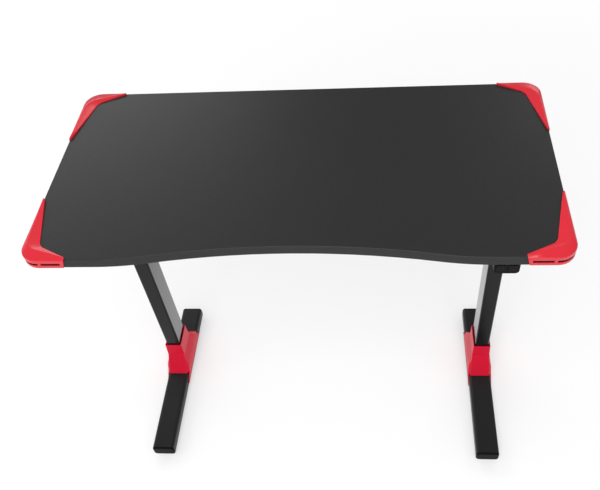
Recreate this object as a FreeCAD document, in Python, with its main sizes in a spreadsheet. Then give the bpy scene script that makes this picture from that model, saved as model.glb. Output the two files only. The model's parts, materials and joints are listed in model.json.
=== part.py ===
import FreeCAD, Part
import Sketcher
import math
import os
from types import SimpleNamespace

# A desk on two telescoping columns: a motor turns one cross shaft, the shaft turns a spindle in
# each column, and the spindles raise and lower the desktop. The pieces stand at the height at
# which the desk is used standing.
# Millimetres. X runs along the front edge, Y away from the user, Z up from the floor. The origin
# is on the floor, under the middle of the desktop.

SIZES = {
    # The whole desk
    "desk_width": 1193.0,
    "desk_depth": 593.0,
    "rest_height": 1014.0,
    "lowest_height": 720.0,
    "highest_height": 1180.0,
    # Desktop board, with the waist in its front edge
    "board_thickness": 25.0,
    "board_corner_radius": 39.5,
    "board_edge_radius": 1.5,
    "waist_depth": 35.0,
    "waist_half_length": 430.0,
    # Corner guards: their plan is measured inwards from the desk's outer faces
    "guard_wall": 2.2,
    "guard_clearance": 0.3,
    "guard_rise": 5.5,
    "guard_facet_drop": 5.0,
    "guard_seat": 0.5,
    "guard_lower_lip": 2.5,
    "guard_corner_radius": 42.0,
    "guard_front_arm": 107.0,
    "guard_front_tip": 6.5,
    "guard_end_slant": 8.5,
    "guard_side_arm": 188.5,
    "guard_side_tip": 6.5,
    "elbow_front_x": 45.5,
    "elbow_front_y": 39.0,
    "elbow_side_x": 38.5,
    "elbow_side_y": 49.0,
    "crease_front_tip": 5.0,
    "crease_front_x": 29.0,
    "crease_front_y": 31.0,
    "crease_side_x": 7.5,
    "crease_side_y": 60.5,
    "crease_side_tip": 2.5,
    "crease_radius": 46.0,
    "slot_height": 6.5,
    "slot_drop": 9.8,
    "slot_start": 93.5,
    "slot_bridge_start": 50.5,
    "slot_bridge_end": 43.5,
    "slot_side_reach": 22.0,
    # Feet and their end caps
    "foot_width": 70.0,
    "foot_height": 40.0,
    "foot_lift": 8.0,
    "foot_wall": 2.0,
    "foot_corner_radius": 10.0,
    "foot_front": 270.0,
    "foot_rear": 291.0,
    "cap_rim": 6.0,
    "cap_plug": 15.0,
    "cap_plug_wall": 3.0,
    "cap_round": 5.0,
    "cap_fit": 0.15,
    # Levelling feet
    "leveller_inset": 30.0,
    "pad_radius": 20.0,
    "pad_top_radius": 12.0,
    "pad_rim": 4.5,
    "pad_gap": 0.3,
    "stud_radius": 5.0,
    "stud_fit": 0.08,
    "stud_length": 24.0,
    "weld_nut_radius": 9.0,
    "weld_nut_height": 9.0,
    # Columns: outer tubes with their base plates, inner tubes, collars and glides
    "column_inset": 80.5,
    "column_y": 92.0,
    "outer_width": 45.0,
    "outer_depth": 75.0,
    "outer_wall": 1.8,
    "outer_corner_radius": 5.0,
    "column_gap": 1.7,
    "slide_gap": 0.3,
    "inner_wall": 1.8,
    "inner_corner_radius": 4.0,
    "head_gap": 30.0,
    "tube_overlap": 100.0,
    "plate_width": 62.0,
    "plate_length": 148.0,
    "plate_thickness": 5.0,
    "plate_bolt_x": 20.0,
    "plate_bolt_y": 62.0,
    "collar_rim": 4.0,
    "collar_brim": 1.5,
    "collar_sleeve": 40.0,
    "glide_sleeve": 40.0,
    "glide_floor": 3.0,
    # Covers round the bottom of the columns
    "cover_wall": 2.5,
    "cover_gap": 2.0,
    "cover_height": 114.0,
    "cover_fold_drop": 50.0,
    "cover_fold_flare": 2.5,
    "cover_flare_height": 14.0,
    "cover_flare_x": 34.5,
    "cover_base_x": 38.0,
    "cover_front_reach": 82.0,
    "cover_rear_reach": 96.0,
    "skirt_front_reach": 106.0,
    "skirt_rear_reach": 112.0,
    "skirt_drop": 26.0,
    "foot_clearance": 0.4,
    "rib_width": 2.4,
    "rib_pitch": 6.0,
    "rib_rise": 1.0,
    # Spindles, nuts and bearings
    "nut_tube_diameter": 28.0,
    "nut_tube_wall": 3.0,
    "nut_drop": 30.0,
    "nut_flange": 20.0,
    "nut_spigot": 15.0,
    "spindle_diameter": 14.0,
    "spindle_fit": 0.08,
    "spindle_spare": 12.0,
    "bearing_radius": 13.0,
    "bearing_height": 10.0,
    # Gear housings and bevel gears
    "housing_width": 62.0,
    "housing_depth": 76.0,
    "housing_height": 42.0,
    "housing_floor": 4.0,
    "housing_wall_x": 5.0,
    "cavity_half_depth": 18.0,
    "spigot_height": 22.0,
    "spigot_fit": 0.15,
    "gear_radius": 14.0,
    "gear_addendum": 1.2,
    "gear_dedendum": 1.9,
    "gear_tooth_width": 2.2,
    "gear_root_widening": 1.2,
    "gear_tip_narrowing": 0.8,
    "gear_hub_length": 4.0,
    "gear_hub_radius": 10.5,
    "running_gap": 0.2,
    "shaft_radius": 5.0,
    "shaft_fit": 0.08,
    "shaft_end_gap": 1.0,
    "journal_length": 90.0,
    # Support arms and cross rails
    "arm_gap": 1.0,
    "arm_wall": 3.0,
    "arm_front": 300.0,
    "arm_rear": 180.0,
    "arm_flange": 40.0,
    "arm_tip_flange": 14.0,
    "arm_taper": 90.0,
    "arm_shaft_hole": 9.0,
    "rail_offset": 70.0,
    "rail_depth": 20.0,
    "rail_height": 40.0,
    "rail_wall": 1.5,
    "rail_end_plate": 6.0,
    # Motor and its bracket
    "motor_inset": 286.0,
    "gearcase_length": 50.0,
    "gearcase_front": 22.0,
    "gearcase_rear": 56.0,
    "gearcase_height": 38.0,
    "gearcase_round": 12.0,
    "can_radius": 17.5,
    "can_length": 100.0,
    "can_end_radius": 15.0,
    "can_end_length": 10.0,
    "can_y": 36.0,
    "bracket_width": 64.0,
    "bracket_thickness": 3.0,
    # Control box
    "control_x": -30.0,
    "control_y": 228.0,
    "control_length": 240.0,
    "control_depth": 84.0,
    "control_height": 36.0,
    "control_wall": 2.5,
    "control_round": 6.0,
    "control_tray": 2.5,
    "control_ear": 16.0,
    "inlet_depth": 14.0,
    "inlet_width": 26.0,
    "inlet_height": 17.0,
    "inlet_rim": 1.5,
    "inlet_recess": 9.0,
    "socket_depth": 12.0,
    "socket_width": 14.0,
    "socket_height": 12.0,
    "socket_rim": 1.6,
    "socket_recess": 8.0,
    "socket_pitch": 24.0,
    # Hand switch under the front edge
    "switch_inset": 141.5,
    "switch_width": 54.0,
    "switch_height": 34.0,
    "switch_depth": 44.0,
    "switch_setback": 5.0,
    "switch_corner_radius": 9.0,
    "switch_wall": 2.0,
    "switch_bezel": 3.0,
    "switch_ear": 13.0,
    "switch_ear_depth": 20.0,
    "switch_ear_thickness": 3.0,
    "button_pitch": 25.0,
    "button_width": 19.0,
    "button_height": 17.0,
    "button_corner_radius": 3.0,
    "button_drop": 16.0,
    "button_proud": 1.6,
    "button_gap": 0.3,
    "button_flange": 1.4,
    "button_flange_overlap": 1.2,
    "button_travel": 1.2,
    "key_size": 6.0,
    "key_height": 3.5,
    "circuit_thickness": 1.6,
    "circuit_fit": 0.15,
    # Fasteners
    "foot_bolt_radius": 4.0,
    "foot_bolt_head_radius": 7.0,
    "foot_bolt_head": 5.0,
    "frame_bolt_radius": 3.0,
    "frame_bolt_length": 12.0,
    "frame_bolt_head_radius": 5.6,
    "frame_bolt_head": 4.0,
    "rail_bolt_spread": 9.0,
    "housing_bolt_y": 28.0,
    "bracket_bolt_x": 22.0,
    "screw_radius": 2.0,
    "screw_length": 15.0,
    "screw_head_radius": 4.0,
    "screw_head_top_radius": 2.6,
    "screw_head": 2.5,
    "arm_screw_inset": 20.0,
    "guard_screw_x": 26.5,
    "guard_screw_y": 38.5,
    "cut_overrun": 1.0,
}

# Counts, shares and a tolerance
WAIST_MIDDLE_SHARE = 0.7334
INLET_ROUND_SHARE = 0.33
MOTOR_BOLT_SHARE = 0.25
LEVEL_TOLERANCE = 1e-4
GEAR_TEETH = 16
GEAR_SMALL_END_SHARE = 0.68
RIB_COUNT = 9
RIB_START_SHARE = 0.08
RIB_END_SHARE = 0.72
ARM_SCREW_SHARES = (0.0, 0.33, 0.8, 1.0)
SIDES = (("left", -1), ("right", 1))
ENDS = (("front", -1), ("rear", 1))

doc = FreeCAD.newDocument("desk")
sheet = doc.addObject("Spreadsheet::Sheet", "Sizes")
for row, (alias, number) in enumerate(SIZES.items(), start=1):
    sheet.set(f"A{row}", alias)
    sheet.set(f"B{row}", str(number))
    sheet.setAlias(f"B{row}", alias)
doc.recompute()


class Size:
    """A size that knows its value and the sheet expression that gives it."""

    def __init__(self, value, text):
        self.value = value
        self.text = text

    def __add__(self, other):
        other = as_size(other)
        return Size(self.value + other.value, f"({self.text} + {other.text})")

    def __sub__(self, other):
        other = as_size(other)
        return Size(self.value - other.value, f"({self.text} - {other.text})")

    def __mul__(self, other):
        other = as_size(other)
        return Size(self.value * other.value, f"({self.text} * {other.text})")

    def __truediv__(self, other):
        other = as_size(other)
        return Size(self.value / other.value, f"({self.text} / {other.text})")

    def __neg__(self):
        return Size(-self.value, f"(0 - {self.text})")

    __rmul__ = __mul__


def as_size(value):
    """A plain count, share or zero as a Size."""
    if isinstance(value, Size):
        return value
    return Size(float(value), f"({float(value)})")


def chosen_of(rule, first, second):
    """The smaller or the larger of two sizes, by the rule min or max."""
    value = {"min": min, "max": max}[rule](first.value, second.value)
    return Size(value, f"{rule}({first.text}; {second.text})")


d = SimpleNamespace(**{alias: Size(number, f"Sizes.{alias}") for alias, number in SIZES.items()})
zero = as_size(0)
nodes = {}


def bind(item, prop, size):
    item.setExpression(prop, as_size(size).text)


def place(item, x, y, z):
    for axis, size in zip("xyz", (x, y, z)):
        bind(item, f"Placement.Base.{axis}", size)
    return item


def keep(name, item):
    """Record a finished sub-part under its own label."""
    item.Label = name
    nodes[name] = item
    return item


# Primitives and booleans

TURNS = {
    "+x": FreeCAD.Rotation(FreeCAD.Vector(0, 1, 0), 90),
    "-x": FreeCAD.Rotation(FreeCAD.Vector(0, 1, 0), -90),
    "+y": FreeCAD.Rotation(FreeCAD.Vector(1, 0, 0), -90),
    "-y": FreeCAD.Rotation(FreeCAD.Vector(1, 0, 0), 90),
    "+z": FreeCAD.Rotation(),
    "-z": FreeCAD.Rotation(FreeCAD.Vector(1, 0, 0), 180),
}


def box(name, low, high):
    """A block between two corners."""
    item = doc.addObject("Part::Box", name)
    for prop, first, last in zip(("Length", "Width", "Height"), low, high):
        bind(item, prop, as_size(last) - first)
    return place(item, *low)


def rod(name, radius, length, x, y, z, direction="+z"):
    item = doc.addObject("Part::Cylinder", name)
    bind(item, "Radius", radius)
    bind(item, "Height", length)
    item.Placement = FreeCAD.Placement(FreeCAD.Vector(), TURNS[direction])
    return place(item, x, y, z)


def cone(name, radius, end_radius, length, x, y, z, direction="+z"):
    item = doc.addObject("Part::Cone", name)
    bind(item, "Radius1", radius)
    bind(item, "Radius2", end_radius)
    bind(item, "Height", length)
    item.Placement = FreeCAD.Placement(FreeCAD.Vector(), TURNS[direction])
    return place(item, x, y, z)


def hexagon(name, corner_radius, length, x, y, z, direction="+z"):
    item = doc.addObject("Part::Prism", name)
    item.Polygon = 6
    bind(item, "Circumradius", corner_radius)
    bind(item, "Height", length)
    item.Placement = FreeCAD.Placement(FreeCAD.Vector(), TURNS[direction])
    return place(item, x, y, z)


def fuse(name, items):
    item = doc.addObject("Part::MultiFuse", name)
    item.Shapes = list(items)
    return item


def group(name, items):
    """Separate solids under one name."""
    item = doc.addObject("Part::Compound", name)
    item.Links = list(items)
    return item


def cut(name, base, *tools):
    """The base less each tool in turn."""
    item = base
    for number, tool in enumerate(tools, start=1):
        result = doc.addObject("Part::Cut", f"{name}_cut_{number}")
        result.Base = item
        result.Tool = tool
        item = result
    return item


# Sketched bodies

def new_body(name):
    return doc.addObject("PartDesign::Body", f"{name}_body")


def arc_between(start, end, radius, turn):
    """The short arc of a radius from start to end; turn 1 is counter-clockwise, -1 clockwise."""
    along = end - start
    left = FreeCAD.Vector(-along.y, along.x, 0).normalize()
    rise = math.sqrt(max(radius ** 2 - (along.Length / 2) ** 2, 0))
    centre = (start + end) / 2 + left * (turn * rise)
    return Part.Arc(start, centre - left * (turn * radius), end)


def draw_outline(sketch, points):
    """A closed outline. A point is (x, y), or (x, y, radius, turn) where an arc leaves it."""
    ends = []
    for index, point in enumerate(points):
        following = points[(index + 1) % len(points)]
        start = FreeCAD.Vector(point[0].value, point[1].value, 0)
        end = FreeCAD.Vector(following[0].value, following[1].value, 0)
        if len(point) == 2:
            edge = sketch.addGeometry(Part.LineSegment(start, end), False)
            ends.append((edge, 1, 2))
            continue
        radius, turn = point[2:]
        edge = sketch.addGeometry(arc_between(start, end, radius.value, turn), False)
        number = sketch.addConstraint(Sketcher.Constraint("Radius", edge, radius.value))
        sketch.setExpression(f"Constraints[{number}]", radius.text)
        ends.append((edge, 1, 2) if turn > 0 else (edge, 2, 1))
    for index, point in enumerate(points):
        edge, first, _ = ends[index]
        before, _, last = ends[index - 1]
        sketch.addConstraint(Sketcher.Constraint("Coincident", before, last, edge, first))
        for kind, size in (("DistanceX", point[0]), ("DistanceY", point[1])):
            number = sketch.addConstraint(Sketcher.Constraint(kind, -1, 1, edge, first, size.value))
            sketch.setExpression(f"Constraints[{number}]", size.text)


def add_sketch(body, plane, level, *outlines):
    """A sketch on one of the body's planes, moved along that plane's normal to a level."""
    sketch = body.newObject("Sketcher::SketchObject", f"{body.Name}_sketch")
    support = [item for item in body.Origin.OriginFeatures if item.Role == plane][0]
    sketch.AttachmentSupport = (support, [""])
    sketch.MapMode = "FlatFace"
    bind(sketch, "AttachmentOffset.Base.z", level)
    for points in outlines:
        draw_outline(sketch, [tuple(map(as_size, point[:2])) + point[2:] for point in points])
    return sketch


def extrude(body, kind, sketch, length):
    """A Pad along the sketch's normal, or a Pocket against it."""
    feature = body.newObject(f"PartDesign::{kind}", f"{body.Name}_{kind}")
    feature.Profile = sketch
    bind(feature, "Length", length)
    return feature


def loft(body, kind, sketches):
    """A ruled loft through sketches of like outline."""
    feature = body.newObject(f"PartDesign::{kind}", f"{body.Name}_{kind}")
    feature.Profile = sketches[0]
    feature.Sections = sketches[1:]
    feature.Ruled = True
    return feature


def round_edges(body, feature, radius, chosen):
    """Round the edges of the last feature that a test picks."""
    doc.recompute()
    names = [f"Edge{number}" for number, edge in enumerate(feature.Shape.Edges, start=1) if chosen(edge)]
    rounding = body.newObject("PartDesign::Fillet", f"{body.Name}_rounding")
    rounding.Base = (feature, names)
    bind(rounding, "Radius", radius)
    return rounding


def lies_at(edge, axis, level):
    """Whether all of an edge lies in the plane of an axis at a level."""
    bounds = edge.BoundBox
    low, high = getattr(bounds, f"{axis}Min"), getattr(bounds, f"{axis}Max")
    return all(abs(bound - level.value) < LEVEL_TOLERANCE for bound in (low, high))


def rectangle(left, right, low, high):
    return [(left, low), (right, low), (right, high), (left, high)]


def rounded_rectangle(x, y, width, height, radius):
    left, right = x - width / 2, x + width / 2
    low, high = y - height / 2, y + height / 2
    return [
        (left + radius, low),
        (right - radius, low, radius, 1),
        (right, low + radius),
        (right, high - radius, radius, 1),
        (right - radius, high),
        (left + radius, high, radius, 1),
        (left, high - radius),
        (left, low + radius, radius, 1),
    ]


# Levels and places that several pieces share

board_top = d.rest_height
board_bottom = board_top - d.board_thickness
board_half_width = d.desk_width / 2 - d.guard_wall - d.guard_clearance
board_half_depth = d.desk_depth / 2 - d.guard_wall - d.guard_clearance
column_x = d.desk_width / 2 - d.column_inset
switch_x = d.desk_width / 2 - d.switch_inset
motor_x = column_x - d.motor_inset
travel_down = d.rest_height - chosen_of("min", d.lowest_height, d.rest_height)
travel_up = chosen_of("max", d.highest_height, d.rest_height) - d.rest_height
housing_top = board_bottom - d.arm_wall
inner_top = housing_top - d.housing_height
cavity_floor = inner_top + d.housing_floor
shaft_z = cavity_floor + d.running_gap + d.gear_hub_length + d.gear_radius
outer_top = inner_top - travel_down - d.head_gap
inner_bottom = outer_top - d.tube_overlap - travel_up
foot_top = d.foot_lift + d.foot_height
plate_top = foot_top + d.plate_thickness
nut_top = outer_top - d.nut_drop
nut_tube_top = nut_top - d.nut_flange
spindle_bottom = nut_tube_top - d.nut_spigot - travel_up - d.spindle_spare
rail_bottom = board_bottom - d.rail_height
arm_half_width = d.housing_width / 2 + d.arm_gap + d.arm_wall
inner_width = d.outer_width - (d.outer_wall + d.column_gap) * 2
inner_depth = d.outer_depth - (d.outer_wall + d.column_gap) * 2
switch_front = -board_half_depth + d.switch_setback
switch_bottom = board_bottom - d.switch_height
control_lid_top = board_bottom - d.control_tray


# Fasteners: each is used again to cut its own hole in the pieces that it joins

def bolt(name, x, y, z, direction, radius, length, head_radius, head):
    """A bolt whose head seats at a point and whose shank runs from there along a direction."""
    opposite = {"+": "-", "-": "+"}[direction[0]] + direction[1]
    shank = rod(f"{name}_shank", radius, length, x, y, z, direction)
    cap = hexagon(f"{name}_head", head_radius, head, x, y, z, opposite)
    return fuse(name, [shank, cap])


def frame_bolt(name, x, y, z, direction):
    return bolt(name, x, y, z, direction, d.frame_bolt_radius, d.frame_bolt_length,
                d.frame_bolt_head_radius, d.frame_bolt_head)


def wood_screw(name, x, y, z):
    """A screw that goes up into the board, its head seated at z."""
    shank = rod(f"{name}_shank", d.screw_radius, d.screw_length, x, y, z)
    head = cone(f"{name}_head", d.screw_head_radius, d.screw_head_top_radius, d.screw_head, x, y, z, "-z")
    return fuse(name, [shank, head])


def make_foot_bolts():
    bolts = []
    for _, side in SIDES:
        for row in (-1, 1):
            for column in (-1, 1):
                x = side * column_x + column * d.plate_bolt_x
                y = d.column_y + row * d.plate_bolt_y
                length = d.foot_height + d.plate_thickness
                bolts.append(bolt(f"foot_bolt_{len(bolts)}", x, y, d.foot_lift, "+z", d.foot_bolt_radius,
                                  length, d.foot_bolt_head_radius, d.foot_bolt_head))
    return keep("foot_bolts", group("foot_bolts", bolts))


def make_frame_bolts():
    bolts = []
    rail_z = board_bottom - d.rail_height / 2
    for _, side in SIDES:
        x = side * column_x
        inwards = "-x" if side > 0 else "+x"
        outwards = "+x" if side > 0 else "-x"
        for row in (-1, 1):
            housing_y = d.column_y + row * d.housing_bolt_y
            bolts.append(frame_bolt(f"housing_bolt_{len(bolts)}", x + side * arm_half_width, housing_y,
                                    shaft_z, inwards))
            bolts.append(frame_bolt(f"housing_bolt_{len(bolts)}", x - side * arm_half_width, housing_y,
                                    shaft_z, outwards))
            for height in (-1, 1):
                bolts.append(frame_bolt(f"rail_bolt_{len(bolts)}", x - side * (arm_half_width - d.arm_wall),
                                        d.column_y + row * d.rail_offset,
                                        rail_z + height * d.rail_bolt_spread, inwards))
    bracket_bottom = rail_bottom - d.bracket_thickness
    for column in (-1, 1):
        x = motor_x + column * d.bracket_bolt_x
        for row in (-1, 1):
            bolts.append(frame_bolt(f"bracket_bolt_{len(bolts)}", x, d.column_y + row * d.rail_offset,
                                    bracket_bottom, "+z"))
        motor_bolt_x = motor_x + column * d.gearcase_length * MOTOR_BOLT_SHARE
        bolts.append(frame_bolt(f"motor_bolt_{len(bolts)}", motor_bolt_x, d.column_y + d.can_y,
                                bracket_bottom, "+z"))
    return keep("frame_bolts", group("frame_bolts", bolts))


def make_wood_screws():
    screws = []

    def add(x, y, z):
        screws.append(wood_screw(f"wood_screw_{len(screws)}", x, y, z))

    arm_front_screw = d.column_y - d.arm_front + d.arm_screw_inset
    arm_screw_run = d.arm_front + d.arm_rear - d.arm_screw_inset * 2
    for _, side in SIDES:
        for share in ARM_SCREW_SHARES:
            add(side * column_x, arm_front_screw + arm_screw_run * share, housing_top)
        for _, end in ENDS:
            corner_x = side * (d.desk_width / 2 - d.guard_screw_x)
            corner_y = end * (d.desk_depth / 2 - d.guard_screw_y)
            add(corner_x, corner_y, board_bottom)
        add(d.control_x + side * (d.control_length + d.control_ear) / 2, d.control_y, control_lid_top)
        add(switch_x + side * (d.switch_width + d.switch_ear) / 2,
            switch_front + d.switch_depth / 2, board_bottom - d.switch_ear_thickness)
    return keep("wood_screws", group("wood_screws", screws))


# Desktop and corner guards

def guard_point(side, end, across, deep):
    """A point of a guard's plan, from its distances to the desk's outer side and outer edge."""
    return (side * (d.desk_width / 2 - across), end * (d.desk_depth / 2 - deep))


def guard_arm_at(level):
    """How far a guard's front arm reaches at a level: below, its end leans back towards the corner."""
    top = board_top + d.guard_rise
    return d.guard_front_arm - d.guard_end_slant * (top - level) / (top - board_bottom)


def guard_inner_line(side, end, arm=d.guard_front_arm):
    """The edge of a guard's lip, ended where the front arm has a given reach."""
    fall = (d.elbow_front_y - d.guard_front_tip) / (d.guard_front_arm - d.elbow_front_x)
    return [
        guard_point(side, end, d.guard_side_tip, d.guard_side_arm),
        guard_point(side, end, d.elbow_side_x, d.elbow_side_y),
        guard_point(side, end, d.elbow_front_x, d.elbow_front_y),
        guard_point(side, end, arm, d.guard_front_tip + (d.guard_front_arm - arm) * fall),
    ]


def guard_wall_outline(side, end):
    return guard_inner_line(side, end) + [
        guard_point(side, end, d.guard_front_arm, zero),
        guard_point(side, end, d.guard_corner_radius, zero) + (d.guard_corner_radius, -side * end),
        guard_point(side, end, zero, d.guard_corner_radius),
        guard_point(side, end, zero, d.guard_side_arm),
    ]


def guard_crease_outline(side, end):
    return guard_inner_line(side, end) + [
        guard_point(side, end, d.guard_front_arm, d.crease_front_tip),
        guard_point(side, end, d.crease_front_x, d.crease_front_y) + (d.crease_radius, -side * end),
        guard_point(side, end, d.crease_side_x, d.crease_side_y),
        guard_point(side, end, d.crease_side_tip, d.guard_side_arm),
    ]


def guard_seat_outline(side, end, arm):
    """The corner of the board that a guard's lip covers, carried past the board's edges."""
    return guard_inner_line(side, end, arm) + [
        guard_point(side, end, arm, -d.cut_overrun),
        guard_point(side, end, -d.cut_overrun, -d.cut_overrun),
        guard_point(side, end, -d.cut_overrun, d.guard_side_arm),
    ]


def make_desktop(wood_screws):
    """The board: straight back and sides, and a front edge drawn in by three tangent arcs."""
    front = -board_half_depth
    radius = d.board_corner_radius
    half = board_half_width
    run = (d.waist_half_length * d.waist_half_length + d.waist_depth * d.waist_depth) / (d.waist_depth * 2)
    middle_radius = run * WAIST_MIDDLE_SHARE
    end_radius = run - middle_radius
    turn_x = d.waist_half_length * WAIST_MIDDLE_SHARE
    turn_y = front + d.waist_depth * (1 - WAIST_MIDDLE_SHARE)
    outline = [
        (-half + radius, front),
        (-d.waist_half_length, front, end_radius, 1),
        (-turn_x, turn_y, middle_radius, -1),
        (turn_x, turn_y, end_radius, 1),
        (d.waist_half_length, front),
        (half - radius, front, radius, 1),
        (half, front + radius),
        (half, -front - radius, radius, 1),
        (half - radius, -front),
        (-half + radius, -front, radius, 1),
        (-half, -front - radius),
        (-half, front + radius, radius, 1),
    ]
    body = new_body("desktop")
    panel = extrude(body, "Pad", add_sketch(body, "XY_Plane", board_bottom, outline), d.board_thickness)
    round_edges(body, panel, d.board_edge_radius,
                lambda edge: lies_at(edge, "Z", board_top) or lies_at(edge, "Z", board_bottom))
    corners = [(side, end) for _, side in SIDES for _, end in ENDS]
    upper_seats = [guard_seat_outline(side, end, d.guard_front_arm) for side, end in corners]
    extrude(body, "Pocket", add_sketch(body, "XY_Plane", board_top, *upper_seats), d.guard_seat)
    lip_level = board_bottom + d.guard_lower_lip
    lower_seats = [guard_seat_outline(side, end, guard_arm_at(lip_level)) for side, end in corners]
    extrude(body, "Pocket", add_sketch(body, "XY_Plane", lip_level, *lower_seats), d.guard_lower_lip)
    keep("desktop", cut("desktop", body, wood_screws))


def make_guard(side_name, side, end_name, end, wood_screws):
    """A clip over one corner: creased top lip, wall with two slots and a slanted end, lip under the board."""
    name = f"{end_name}_{side_name}_guard"
    body = new_body(name)
    wall_top = board_top + d.guard_rise - d.guard_facet_drop
    wall = add_sketch(body, "XY_Plane", board_bottom, guard_wall_outline(side, end))
    extrude(body, "Pad", wall, wall_top - board_bottom)
    loft(body, "AdditiveLoft", [
        add_sketch(body, "XY_Plane", wall_top, guard_wall_outline(side, end)),
        add_sketch(body, "XY_Plane", board_top + d.guard_rise, guard_crease_outline(side, end)),
    ])
    skin = d.guard_wall
    inside_radius = d.board_corner_radius + d.guard_clearance
    far_x = d.guard_front_arm + d.cut_overrun
    far_y = d.guard_side_arm + d.cut_overrun
    hollow = [
        guard_point(side, end, far_x, skin),
        guard_point(side, end, skin + inside_radius, skin) + (inside_radius, -side * end),
        guard_point(side, end, skin, skin + inside_radius),
        guard_point(side, end, skin, far_y),
        guard_point(side, end, far_x, far_y),
    ]
    lips = d.guard_seat + d.guard_lower_lip
    extrude(body, "Pocket", add_sketch(body, "XY_Plane", board_top - d.guard_seat, hollow),
            d.board_thickness - lips)
    behind = skin + d.guard_clearance
    slots = []
    for near, far, reach in (
        (d.slot_start, d.slot_bridge_start, behind),
        (d.slot_bridge_end, -d.cut_overrun, d.slot_side_reach),
    ):
        slots.append([
            guard_point(side, end, near, -d.cut_overrun),
            guard_point(side, end, far, -d.cut_overrun),
            guard_point(side, end, far, reach),
            guard_point(side, end, near, reach),
        ])
    extrude(body, "Pocket", add_sketch(body, "XY_Plane", board_top - d.slot_drop, *slots), d.slot_height)
    slope_top = board_top + d.guard_rise
    slope_bottom = board_bottom - d.cut_overrun
    slope = [
        (guard_point(side, end, d.guard_front_arm, zero)[0], slope_top),
        (guard_point(side, end, guard_arm_at(slope_bottom), zero)[0], slope_bottom),
        (guard_point(side, end, far_x, zero)[0], slope_bottom),
        (guard_point(side, end, far_x, zero)[0], slope_top),
    ]
    outer_y = end * d.desk_depth / 2
    slope_level = d.elbow_front_y - outer_y if end > 0 else d.cut_overrun - outer_y
    extrude(body, "Pocket", add_sketch(body, "XZ_Plane", slope_level, slope), d.elbow_front_y + d.cut_overrun)
    keep(name, cut(name, body, wood_screws))


# Feet, end caps and levelling feet

def leveller_y(end):
    return end * ((d.foot_rear if end > 0 else d.foot_front) - d.leveller_inset)


def foot_section(inset):
    """The foot's cross-section, drawn in on all sides by an inset."""
    return lambda x: rounded_rectangle(x, d.foot_lift + d.foot_height / 2, d.foot_width - inset * 2,
                                       d.foot_height - inset * 2, d.foot_corner_radius - inset)


def make_foot(side_name, side, foot_bolts):
    name = f"{side_name}_foot"
    x = side * column_x
    body = new_body(name)
    outlines = [foot_section(inset)(x) for inset in (zero, d.foot_wall)]
    tube_length = d.foot_front + d.foot_rear - d.cap_rim * 2
    extrude(body, "Pad", add_sketch(body, "XZ_Plane", d.cap_rim - d.foot_rear, *outlines), tube_length)
    parts = [body]
    holes = []
    for end_name, end in ENDS:
        y = leveller_y(end)
        nut_z = d.foot_lift + d.foot_wall
        parts.append(hexagon(f"{name}_{end_name}_nut", d.weld_nut_radius, d.weld_nut_height, x, y, nut_z))
        holes.append(rod(f"{name}_{end_name}_hole", d.stud_radius + d.stud_fit, d.foot_height / 2,
                         x, y, d.foot_lift - d.cut_overrun))
    keep(name, cut(name, fuse(f"{name}_welded", parts), *holes, foot_bolts))


def make_foot_cap(side_name, side, end_name, end):
    """A plug with a rounded rim that carries on the foot's outline."""
    name = f"{side_name}_foot_{end_name}_cap"
    x = side * column_x
    outer_y = end * (d.foot_rear if end > 0 else d.foot_front)
    inner_y = outer_y - end * d.cap_rim
    body = new_body(name)
    rim_level = -(outer_y if end > 0 else inner_y)
    rim = extrude(body, "Pad", add_sketch(body, "XZ_Plane", rim_level, foot_section(zero)(x)), d.cap_rim)
    round_edges(body, rim, d.cap_round, lambda edge: lies_at(edge, "Y", outer_y))
    plug_inset = d.foot_wall + d.cap_fit
    plug_level = -(inner_y if end > 0 else inner_y + d.cap_plug)
    sections = [foot_section(inset)(x) for inset in (plug_inset, plug_inset + d.cap_plug_wall)]
    extrude(body, "Pad", add_sketch(body, "XZ_Plane", plug_level, *sections), d.cap_plug)
    keep(name, body)


def make_leveller(side_name, side, end_name, end):
    """A pad with its threaded stud, screwed fully in."""
    name = f"{side_name}_{end_name}_leveller"
    x = side * column_x
    y = leveller_y(end)
    pad_top = d.foot_lift - d.pad_gap
    rim = rod(f"{name}_rim", d.pad_radius, d.pad_rim, x, y, zero)
    crown = cone(f"{name}_crown", d.pad_radius, d.pad_top_radius, pad_top - d.pad_rim, x, y, d.pad_rim)
    stud = rod(f"{name}_stud", d.stud_radius, d.stud_length, x, y, d.pad_rim)
    keep(name, fuse(name, [rim, crown, stud]))


# Columns

def column_section(x, width, depth, radius):
    return rounded_rectangle(x, d.column_y, width, depth, radius)


def grown_section(x, width, depth, radius, growth):
    return column_section(x, width + growth * 2, depth + growth * 2, radius + growth)


def outer_section(x, growth):
    return grown_section(x, d.outer_width, d.outer_depth, d.outer_corner_radius, growth)


def inner_section(x, growth):
    return grown_section(x, inner_width, inner_depth, d.inner_corner_radius, growth)


def make_outer_column(side_name, side, foot_bolts):
    """The lower tube, welded to the plate that the foot bolts hold."""
    name = f"{side_name}_outer_column"
    x = side * column_x
    body = new_body(name)
    section = add_sketch(body, "XY_Plane", plate_top, outer_section(x, zero), outer_section(x, -d.outer_wall))
    extrude(body, "Pad", section, outer_top - plate_top)
    half_width, half_length = d.plate_width / 2, d.plate_length / 2
    plate = box(f"{name}_plate", (x - half_width, d.column_y - half_length, foot_top),
                (x + half_width, d.column_y + half_length, plate_top))
    keep(name, cut(name, fuse(f"{name}_welded", [body, plate]), foot_bolts))


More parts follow.
